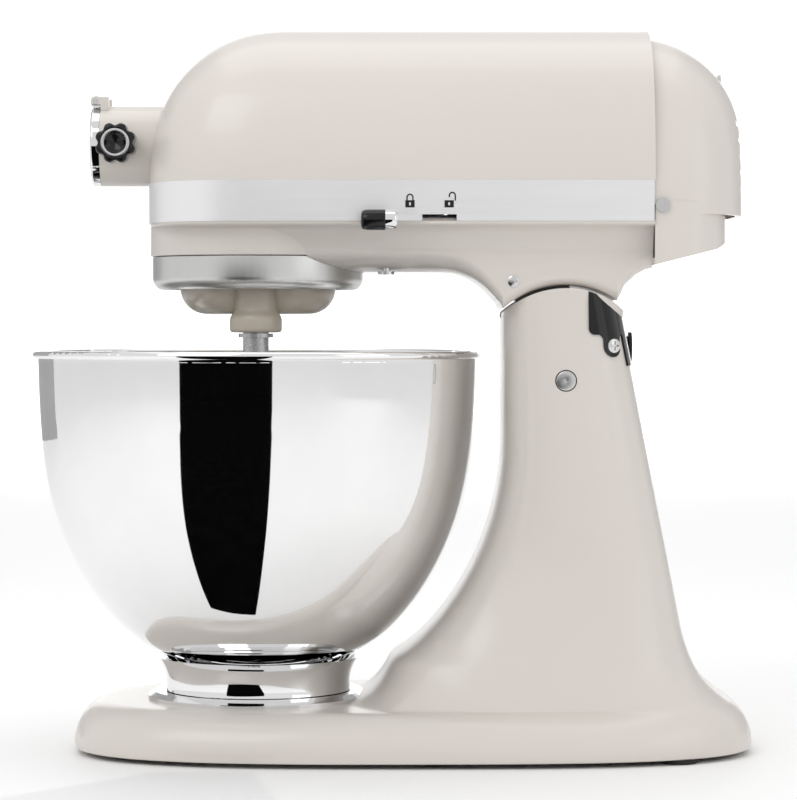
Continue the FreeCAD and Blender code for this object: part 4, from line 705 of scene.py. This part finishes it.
# ================================================================ lower head
DRUM_RADIUS = 53.0
BAND_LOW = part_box("trim_band")[0][2] / MM
HEAD_HALF = 62.0
NOSE_X = -60.6
NOSE_TIP_X = -118.6
NOSE_POINTS = 81
BODY_FRONT_X = -66.0
KNEE_X = 54.2
TAIL_X = 109.2
HOUSING_REAR_X = 126.0
HEAD_ARC_RADIUS = 46.0
DRUM_LOW_Z = 242.6
WALL = 3.0


def nose_outline(inset):
    """Front half of the head's plan: a superellipse of power 2.5 from side to side."""
    angle = np.linspace(-0.5 * np.pi, 0.5 * np.pi, NOSE_POINTS)
    length = NOSE_X - NOSE_TIP_X - inset
    power = 0.8
    x = NOSE_X - length * np.abs(np.cos(angle)) ** power
    y = (HEAD_HALF - inset) * np.sign(np.sin(angle)) * np.abs(np.sin(angle)) ** power
    return np.stack([x, y], axis=-1)


def underside(x):
    """Height of the head's underside: level, then down over the knee, round the hinge and up."""
    stations = [-70, 22, 26.5, 30.4, 34.4, 38.4, 42.3, 46.3, 50.2, KNEE_X]
    heights = [235.0, 235.0, 235.0, 234.7, 233.7, 232.2, 230.0, 226.8, 222.7, 218.2]
    before = np.interp(x, stations, heights)
    arc = HINGE[2] + np.sqrt(np.maximum(0.0, HEAD_ARC_RADIUS ** 2 - (x - HINGE[0]) ** 2))
    after = np.interp(x, [TAIL_X, 111.2, 112.7, 118.1, 123.4, HOUSING_REAR_X],
                      [220.9, 224.2, 228.1, 233.1, 236.0, 236.4])
    return np.where(x < KNEE_X, before, np.where(x < TAIL_X, arc, after))


PIN_HOLE_RADIUS = 4.75

# How far the side stands in from the band's line at heights under the band: a narrow lip, a cove
# and the side below it.
COVE_IN = np.array([0.3, 0.35, 0.8, 2.4, 5.4, 8.0, 9.8, 11.2, 13.4, 15.0])
COVE_DOWN = np.array([0.0, 0.9, 1.5, 2.0, 2.3, 2.8, 3.8, 5.6, 9.5, 13.0])


def body_rows():
    """Sections across the head's lower body from the band on one side, under it, to the other:
    cove, side, and a corner that is a quarter ellipse, shallow at the front."""
    x = np.concatenate([np.linspace(BODY_FRONT_X, 20.0, 20), np.linspace(22.0, KNEE_X, 24)[:-1],
                        np.linspace(KNEE_X, 108.8, 26), np.linspace(TAIL_X, HOUSING_REAR_X, 22)])
    low = underside(x)[:, None]
    blend = np.clip((x[:, None] - 16.0) / 40.0, 0.0, 1.0)
    blend = blend * blend * (3 - 2 * blend)
    side = HEAD_HALF - COVE_IN[-1]
    corner_wide = 32.0 - 24.0 * blend
    corner_high = 10.0 - 4.0 * blend
    share = np.linspace(0.0, 1.0, 8)[None, :]
    cove_y = HEAD_HALF - COVE_IN
    cove_z = BAND_LOW - COVE_DOWN
    turn = np.linspace(0.0, 0.5 * np.pi, 14)[None, :]
    corner_y = side - corner_wide * (1 - np.cos(turn))
    corner_z = low + corner_high * (1 - np.sin(turn))
    wall_y = np.full((len(x), 6), side)
    wall_share = np.linspace(0.0, 1.0, 8)[None, 1:-1]
    wall_z = cove_z[-1] + (corner_z[:, :1] - cove_z[-1]) * wall_share
    flat_y = corner_y[:, -1:] * (1 - share[:, 1:])
    flat_z = np.broadcast_to(low, flat_y.shape)
    y = np.hstack([np.broadcast_to(cove_y, (len(x), len(cove_y))), wall_y, corner_y, flat_y])
    z = np.hstack([np.broadcast_to(cove_z, (len(x), len(cove_z))), wall_z, corner_z, flat_z])
    z = np.maximum(z, low)
    y = np.hstack([-y, y[:, -2::-1]])
    z = np.hstack([z, z[:, -2::-1]])
    return np.stack([np.broadcast_to(x[:, None], y.shape), y, z], axis=-1)


def lug_grid():
    """Hinge lug: for each angle round the pin a ring section from the pin hole to the far edge,
    which is the eye's circle or, above it, the nearest of the stem's front, back and top lines."""
    angle = np.linspace(0.0, 2 * np.pi, 120, endpoint=False)
    along, up = np.cos(angle), np.sin(angle)
    eye = 14.0
    top = 47.5
    tall, front_lean, rear_lean = 51.0, 11.0, -12.0
    lines = ((tall, front_lean, tall * eye), (-tall, rear_lean, tall * eye), (0.0, 1.0, top))
    stem = np.full_like(angle, 200.0)
    least = 0.01
    for across, rise, limit in lines:
        slope = across * along + rise * up
        stem = np.where(slope > least, np.minimum(stem, limit / np.maximum(slope, least)), stem)
    outer = np.where(up > 0.0, np.maximum(eye, stem), eye)
    inner = np.full_like(outer, PIN_HOLE_RADIUS)
    half = 12.0
    bevel = 0.8
    reach = np.stack([inner, outer - bevel, outer, outer, outer - bevel, inner, inner])
    across = np.array([-half, -half, -half + bevel, half - bevel, half, half, -half])
    x = HINGE[0] + reach * along
    z = HINGE[2] + reach * up
    y = np.broadcast_to(across[:, None], x.shape)
    return lay_grid(np.stack([x, y, z], axis=-1), True)


class MIXER_OT_lower_head(bpy.types.Operator):
    """Lower head casting: lip, cove, drum, body and hinge lug"""

    bl_idname = "mixer.lower_head"
    bl_label = "Lower head"

    def execute(self, context):
        # room for the drip ring and the carrier under the drum
        clear, axis = 52.4, 0.01
        below, above = 215.0, 242.7
        well = lathe([(axis, below), (clear, below), (clear, above), (axis, above)],
                     (BOWL[0], 0.0, 0.0), columns=160)
        make_piece("lower_head", "head", "body_paint", [lay_grid(body_rows())],
                   ("lower_housing",), wall=WALL, cutters=(lay_grid(well, True),))
        lip = [np.concatenate([nose_outline(inset), np.full((NOSE_POINTS, 1), BAND_LOW - down)],
                              axis=1) for inset, down in zip(COVE_IN, COVE_DOWN)]
        make_piece("nose_lip", "head", "body_paint", [lay_grid(np.stack(lip))], wall=0.5 * WALL)
        inner, top = 48.6, BAND_LOW - 1.2
        profile = rounded([(DRUM_RADIUS, top), (DRUM_RADIUS, DRUM_LOW_Z), (inner, DRUM_LOW_Z),
                           (inner, top)], [0.1, 0.7, 0.3, 0.1])
        drum = lathe(profile, (BOWL[0], 0.0, 0.0), columns=160)
        make_piece("planetary_drum", "head", "body_paint", [lay_grid(drum, True)])
        make_piece("hinge_lug", "head", "body_paint", [lug_grid()])
        return {"FINISHED"}


# ================================================================ planetary
class PlanetarySettings(bpy.types.PropertyGroup):
    """Sizes of the planetary carrier in millimetres."""

    lobe_gap: bpy.props.FloatProperty(
        name="Lobe gap", description="How deep the cup is cut back behind the boss, mm",
        default=13.0)
    gap_width: bpy.props.FloatProperty(
        name="Gap width", description="Half width of that cut, as a heading",
        subtype="ANGLE", unit="ROTATION", default=math.radians(24.0))


class MIXER_OT_planetary(bpy.types.Operator):
    """Two-lobed carrier cup with its boss, and the drip ring"""

    bl_idname = "mixer.planetary"
    bl_label = "Planetary"

    def execute(self, context):
        settings = context.scene.mixer_planetary
        low, high = mm_box("planetary_carrier")
        shaft_low, shaft_high = mm_box("agitator_shaft")
        shaft = 0.5 * (shaft_low + shaft_high)
        radius = 0.5 * (high[0] - low[0])
        boss_low = low[2]
        cup_top = high[2]
        cup_low = boss_low + 9.1
        turn = np.linspace(0.5 * np.pi, 0.0, 14)[:, None]
        edge = 13.0
        reach = np.vstack([np.linspace(0.05, (radius - edge) / radius, 6)[:, None] * radius,
                           radius - edge + edge * np.cos(turn), [[radius], [radius - 3.0], [0.5]]])
        z = np.vstack([np.full((6, 1), cup_low), cup_low + edge - edge * np.sin(turn),
                       [[cup_top - 0.3], [cup_top], [cup_top]]])
        heading = np.linspace(0.0, 2 * np.pi, 192, endpoint=False)
        off = np.arctan2(np.sin(heading + 0.5 * np.pi), np.cos(heading + 0.5 * np.pi))
        dip = settings.lobe_gap * np.exp(-np.abs(off / settings.gap_width) ** 2.6)
        scale = 1.0 - dip / radius
        x = BOWL[0] + reach * scale * np.cos(heading)
        y = reach * scale * np.sin(heading)
        cup = lay_grid(np.stack([x, y, np.broadcast_to(z, x.shape)], axis=-1), True, (True, True))
        bore, boss_radius, neck = 6.33, 12.8, 10.3
        neck_top = cup_top - 0.6
        profile = rounded([(bore, boss_low), (boss_radius, boss_low),
                           (boss_radius, boss_low + 7.4), (neck, boss_low + 10.6),
                           (neck, neck_top), (bore, neck_top)],
                          [0.2, 2.2, 2.0, 2.6, 0.3, 0.2], 8)
        boss = lathe(profile, (shaft[0], shaft[1], 0.0), columns=96)
        make_piece("carrier_cup", "planetary", "carrier_paint", [cup, lay_grid(boss, True)],
                   ("planetary_carrier",), crease=50.0)

        low, high = mm_box("drip_ring")
        radius = 0.5 * (high[0] - low[0])
        profile = rounded([(radius, high[2]), (radius, low[2] + 3.6), (radius - 3.2, low[2]),
                           (radius - 7.0, low[2]), (radius - 7.6, low[2] + 3.4),
                           (radius - 3.6, low[2] + 6.0), (radius - 3.6, high[2])],
                          [0.3, 2.4, 1.6, 0.8, 0.8, 0.8, 0.3], 6)
        ring = lathe(profile, (0.5 * (low[0] + high[0]), 0.0, 0.0), columns=192)
        make_piece("drip_ring_skin", "head", "ring_satin", [lay_grid(ring, True)], ("drip_ring",))
        return {"FINISHED"}


# ================================================================ small fittings
def screw_head(centre, radius, height, side=-1.0):
    """Domed screw head with a cross recess, facing along Y to the side given: the surface drops
    inside two crossed bars."""
    share = np.concatenate([np.linspace(0.02, 0.8, 22), [0.86, 0.92, 0.97, 1.0, 1.0]])[:, None]
    angle = np.linspace(0.0, 2 * np.pi, 64, endpoint=False)
    first, second = share * np.cos(angle), share * np.sin(angle)
    flatness, bar_half, bar_reach, recess = 0.72, 0.13, 0.62, 0.45
    level = height * np.sqrt(np.maximum(0.0, 1.0 - flatness * share ** 2)) * np.ones_like(angle)
    bar = np.minimum(np.abs(first), np.abs(second)) < bar_half
    level = np.where(bar & (share < bar_reach), level - recess * height, level)
    level[-1] = -0.3
    offset = (first * radius, side * level, second * radius)
    return lay_grid(np.stack(offset, axis=-1) + np.asarray(centre), True, (True, True))


def bar_along(path, half_width, y_low, y_high):
    """Flat bar in the X-Z plane: a path of (x, z) points widened to both sides by half_width and
    given a depth from y_low to y_high."""
    path = np.asarray(path, dtype=float)
    ahead = np.gradient(path, axis=0)
    ahead /= np.linalg.norm(ahead, axis=1, keepdims=True)
    side = np.stack([-ahead[:, 1], ahead[:, 0]], axis=1) * half_width
    ring = [(path + side, y_low), (path - side, y_low), (path - side, y_high),
            (path + side, y_high)]
    points = np.stack([np.stack([p[:, 0], np.full(len(p), y), p[:, 1]], axis=-1)
                       for p, y in ring], axis=1)
    return lay_grid(points, True, (True, True))


SIGN_DEPTH = 0.12
SIGN_PLACES = (9.4, 28.0)


def padlock(x, z, y, opened):
    """Padlock sign: a square body and a hoop of half a circle over two legs; an open one has
    its hoop lifted and turned aside."""
    body = bar_along([(x, z), (x, z + 1.7), (x, z + 3.4)], 2.2, y, y - SIGN_DEPTH)
    turn = np.linspace(np.pi, 0.0, 17)
    lift, shift, raised = (0.9, 1.5, 1.6) if opened else (0.0, 0.0, 0.0)
    radius, thickness, leg_z, hoop_z = 1.4, 0.32, z + 3.2, z + 4.8
    hoop = [(x - radius + shift, leg_z + raised)]
    hoop += [(x + shift + radius * math.cos(t), hoop_z + lift + radius * math.sin(t))
             for t in turn]
    hoop += [(x + radius + shift, leg_z)]
    return [body, bar_along(hoop, thickness, y, y - SIGN_DEPTH)]


class MIXER_OT_lock_lever(bpy.types.Operator):
    """Lock lever's grip and collar, and the lock and unlock signs on the band"""

    bl_idname = "mixer.lock_lever"
    bl_label = "Lock lever"

    def execute(self, context):
        low, high = mm_box("lock_knob")
        middle = 0.5 * (low + high)
        radius = 0.5 * (high[2] - low[2])
        collar_x = high[0] - 6.6
        grip_end = collar_x + 0.6
        grip = rounded([(0.01, low[0]), (radius * 0.86, low[0]), (radius, low[0] + 2.4),
                        (radius, grip_end), (radius * 0.5, grip_end), (0.01, grip_end)],
                       [0.01, 2.0, 2.0, 0.5, 0.3, 0.01], 6)
        centre = (0.0, middle[1], middle[2])
        make_piece("lock_grip", "lock_lever", "black_plastic",
                   [lay_grid(lathe(grip, centre, "X", 64), True)], ("lock_knob",))
        ring = radius * 0.93
        collar = rounded([(0.01, collar_x), (ring, collar_x), (ring, high[0] - 1.4),
                          (ring * 0.7, high[0]), (0.01, high[0])], [0.01, 0.5, 1.6, 1.0, 0.01], 6)
        make_piece("lock_collar", "lock_lever", "rod_chrome",
                   [lay_grid(lathe(collar, centre, "X", 64), True)])
        band_low = mm_box("trim_band")[0]
        y = band_low[1] + 0.02
        z = band_low[2] + 6.3
        locked_x, open_x = SIGN_PLACES
        signs = padlock(locked_x, z, y, False) + padlock(open_x, z, y, True)
        make_piece("lock_signs", "head", "black_plastic", signs)
        holes = [bar_along([(x, z + 1.0), (x, z + 1.7), (x, z + 2.4)], 0.42, y - 0.1, y - 0.16)
                 for x in SIGN_PLACES]
        make_piece("lock_sign_keyholes", "head", "band_satin", holes)
        return {"FINISHED"}


class MIXER_OT_hub(bpy.types.Operator):
    """Fluted hub knob with its ring"""

    bl_idname = "mixer.hub"
    bl_label = "Hub knob"

    def execute(self, context):
        low, high = mm_box("hub_knob")
        centre = 0.5 * (low + high)
        radius = 0.5 * (high[2] - low[2]) + 0.3
        face = low[1]
        depth = high[1] - low[1]
        heading = np.linspace(0.0, 2 * np.pi, 256, endpoint=False)
        flutes, flute_depth = 8, 0.15
        flute = 1.0 - flute_depth * (0.5 + 0.5 * np.cos(flutes * heading)) ** 1.5
        # share of the radius, depth behind the face in mm and share of the flutes' depth
        rows = np.array([
            (0.05, depth, 0.0), (0.55, depth, 0.3), (0.86, depth, 0.9), (0.97, depth - 0.5, 1.0),
            (1.0, depth - 1.4, 1.0), (1.0, depth * 0.5, 1.0), (1.0, 2.0, 1.0), (0.985, 1.1, 1.0),
            (0.94, 0.4, 0.95), (0.87, 0.05, 0.85), (0.80, 0.0, 0.6), (0.74, 0.0, 0.3),
            (0.70, 0.05, 0.0), (0.68, 0.5, 0.0), (0.54, 0.5, 0.0), (0.53, 0.1, 0.0),
            (0.50, 0.1, 0.0), (0.44, 0.7, 0.0), (0.3, 1.5, 0.0), (0.15, 1.8, 0.0),
            (0.03, 1.9, 0.0)])
        share, inward, cut = rows[:, :1], rows[:, 1:2], rows[:, 2:]
        reach = radius * share * (1.0 - cut * (1.0 - flute))
        x = centre[0] + reach * np.cos(heading)
        z = centre[2] + reach * np.sin(heading)
        groove = (np.abs(z - centre[2]) < 0.9) & (share < 0.46)
        y = face + inward + np.where(groove, 0.7, 0.0)
        y = np.broadcast_to(y, x.shape)
        knob = lay_grid(np.stack([x, y, z], axis=-1), True, (True, True))
        make_piece("hub_knob_skin", "hub_knob", "black_plastic", [knob], ("hub_knob",),
                   crease=45.0)
        outer, inner = radius * 0.69, radius * 0.54
        front, back = face + 0.1, face + 0.55
        ring = [(outer, back), (outer, front), (inner, front), (inner, back)]
        turned = lathe(rounded(ring, 0.1, 3), (centre[0], 0.0, centre[2]), "Y")
        make_piece("hub_knob_ring", "hub_knob", "screw_steel", [lay_grid(turned, True)])
        return {"FINISHED"}


class MIXER_OT_rear_cover(bpy.types.Operator):
    """Black cover round the column's back with its two screwed tabs, and the pin's rim"""

    bl_idname = "mixer.rear_cover"
    bl_label = "Rear cover"

    def execute(self, context):
        proud = 0.9
        front_x = 95.5
        edge_z = 204.3
        tab_z = 199.0
        tab_radius = 5.4
        tab_heading = math.radians(62.0)
        tab_fillet = 2.5
        bridge_half, bridge_drop = 34.0, 15.0
        corner_radius = 3.0
        limit = math.atan2(46.9, front_x - COLUMN_MIDDLE_X)
        heading = np.linspace(-limit, limit, 721)
        cosine, sine = np.cos(heading), np.sin(heading)

        def outline(z):
            return level_reach(cosine, sine, COLUMN_MIDDLE_X, column_front(z) - proud,
                               column_rear(z) + proud, column_half(z) + proud, COLUMN_POWER)

        middle_z = np.full((1, len(heading)), 200.0)
        reach = outline(middle_z)[0]
        x, y = COLUMN_MIDDLE_X + reach * cosine, reach * sine
        run = np.concatenate([[0.0], np.cumsum(np.hypot(np.diff(x), np.diff(y)))])
        bottom = np.full(len(heading), edge_z)
        column_x = 0.5 * (column_front(tab_z) + column_rear(tab_z))
        for side in (-1.0, 1.0):
            length = 0.5 * (column_rear(tab_z) - column_front(tab_z))
            out = np.array([math.cos(tab_heading), side * math.sin(tab_heading)])
            share = (abs(out[0] / length) ** COLUMN_POWER
                     + abs(out[1] / column_half(tab_z)) ** COLUMN_POWER)
            place = np.array([column_x, 0.0]) + out * share ** (-1 / COLUMN_POWER)
            nearest = np.argmin(np.hypot(x - place[0], y - place[1]))
            off = np.abs(run - run[nearest])
            round_end = tab_z - np.sqrt(np.maximum(0.0, tab_radius ** 2 - off ** 2))
            bottom = np.where(off < tab_radius, np.minimum(bottom, round_end), bottom)
            fillet = edge_z - 2.2 * np.clip(1 - (off - tab_radius) / tab_fillet, 0.0, 1.0) ** 2
            beside = (off >= tab_radius) & (off < tab_radius + tab_fillet)
            bottom = np.where(beside, fillet, bottom)
            screw = np.array([x[nearest], y[nearest], tab_z])
            make_screw_on_skin(f"cover_screw_{'near' if side < 0 else 'far'}", screw, out)
        bridge = np.clip((bridge_half - np.abs(y)) / 3.0, 0.0, 1.0)
        bottom = np.minimum(bottom, edge_z - bridge * bridge_drop)
        corner = np.clip(1.0 - np.minimum(run, run[-1] - run) / corner_radius, 0.0, 1.0)
        bottom = bottom + corner_radius * (1.0 - np.sqrt(1.0 - corner ** 2))
        crown_radius = 44.3
        inside = np.maximum(crown_radius ** 2 - (x - HINGE[0]) ** 2, 0.0)
        top = HINGE[2] + np.sqrt(inside)
        share = np.linspace(0.0, 1.0, 22)[:, None]
        z = bottom + (top - bottom) * share
        reach = outline(z)
        skin = np.stack([COLUMN_MIDDLE_X + reach * cosine, reach * sine, z], axis=-1)
        gap = box_grid((HINGE[0], -LUG_GAP_HALF, LUG_GAP_REAR_Z),
                       (HINGE[0] + 60, LUG_GAP_HALF, 250.0))
        make_piece("rear_cover_skin", "pedestal", "black_plastic", [lay_grid(skin)],
                   ("rear_cover",), wall=1.6, cutters=(gap,))
        centre = (HINGE[0], 0.0, HINGE[2])
        for side, name in ((-1.0, "near"), (1.0, "far")):
            skin_y, deep_y = side * 46.12, side * 45.2
            inner, outer = PIN_HOLE_RADIUS, 5.25
            rim = rounded([(inner, deep_y), (outer, deep_y), (outer, skin_y), (inner, skin_y)],
                          0.1, 3)
            make_piece(f"pin_rim_{name}", "pedestal", "black_plastic",
                       [lay_grid(lathe(rim, centre, "Y", 64), True)])
            radius = 4.7
            face = rounded([(0.01, deep_y), (radius, deep_y), (radius, skin_y),
                            (0.01, skin_y + side * 0.04)], [0.01, 0.1, 0.5, 0.01], 5)
            make_piece(f"pin_face_{name}", "pedestal", "screw_steel",
                       [lay_grid(lathe(face, centre, "Y", 64), True)])
        return {"FINISHED"}


def make_screw_on_skin(name, centre, out):
    """Screw head standing on a skin that faces along the level direction out."""
    vertices, faces = screw_head((0.0, 0.0, 0.0), 3.4, 1.5)
    turned = np.stack([-vertices[:, 1] * out[0] - vertices[:, 0] * out[1],
                       -vertices[:, 1] * out[1] + vertices[:, 0] * out[0],
                       vertices[:, 2]], axis=-1)
    make_piece(name, "pedestal", "screw_steel", [(turned + centre, faces)],
               ("rear_cover_screws",) if name.endswith("near") else ())


class MIXER_OT_head_screws(bpy.types.Operator):
    """Screws in the lower head's sides"""

    bl_idname = "mixer.head_screws"
    bl_label = "Head screws"

    def execute(self, context):
        side_y = HEAD_HALF - COVE_IN[-1]
        for side, name in ((-1.0, "near"), (1.0, "far")):
            head = screw_head((59.0, side * side_y, 230.0), 2.7, 1.0, side)
            make_piece(f"side_screw_{name}", "head", "screw_steel", [head])
        return {"FINISHED"}


SETTINGS = (("mixer_stage", StageSettings), ("mixer_paint", PaintSettings),
            ("mixer_pedestal", PedestalSettings), ("mixer_planetary", PlanetarySettings))
OPERATORS = (MIXER_OT_stage, MIXER_OT_finishes, MIXER_OT_pedestal, MIXER_OT_lower_head,
             MIXER_OT_planetary, MIXER_OT_lock_lever, MIXER_OT_hub, MIXER_OT_rear_cover,
             MIXER_OT_head_screws)


class MIXER_PT_panel(bpy.types.Panel):
    """Lists the build steps in order"""

    bl_idname = "MIXER_PT_panel"
    bl_label = "Stand mixer"
    bl_space_type = "VIEW_3D"
    bl_region_type = "UI"
    bl_category = "Mixer"

    def draw(self, context):
        for operator in OPERATORS:
            self.layout.operator(operator.bl_idname)
        for name, group in SETTINGS:
            box = self.layout.box()
            for key in group.__annotations__:
                box.prop(getattr(context.scene, name), key)


def register():
    for name, group in SETTINGS:
        bpy.utils.register_class(group)
        setattr(bpy.types.Scene, name, bpy.props.PointerProperty(type=group))
    for operator in OPERATORS:
        bpy.utils.register_class(operator)
    bpy.utils.register_class(MIXER_PT_panel)


def unregister():
    bpy.utils.unregister_class(MIXER_PT_panel)
    for operator in reversed(OPERATORS):
        bpy.utils.unregister_class(operator)
    for name, group in reversed(SETTINGS):
        delattr(bpy.types.Scene, name)
        bpy.utils.unregister_class(group)


def main():
    register()
    for operator in OPERATORS:
        area, action = operator.bl_idname.split(".")
        getattr(getattr(bpy.ops, area), action)()


if __name__ == "__main__":
    main()
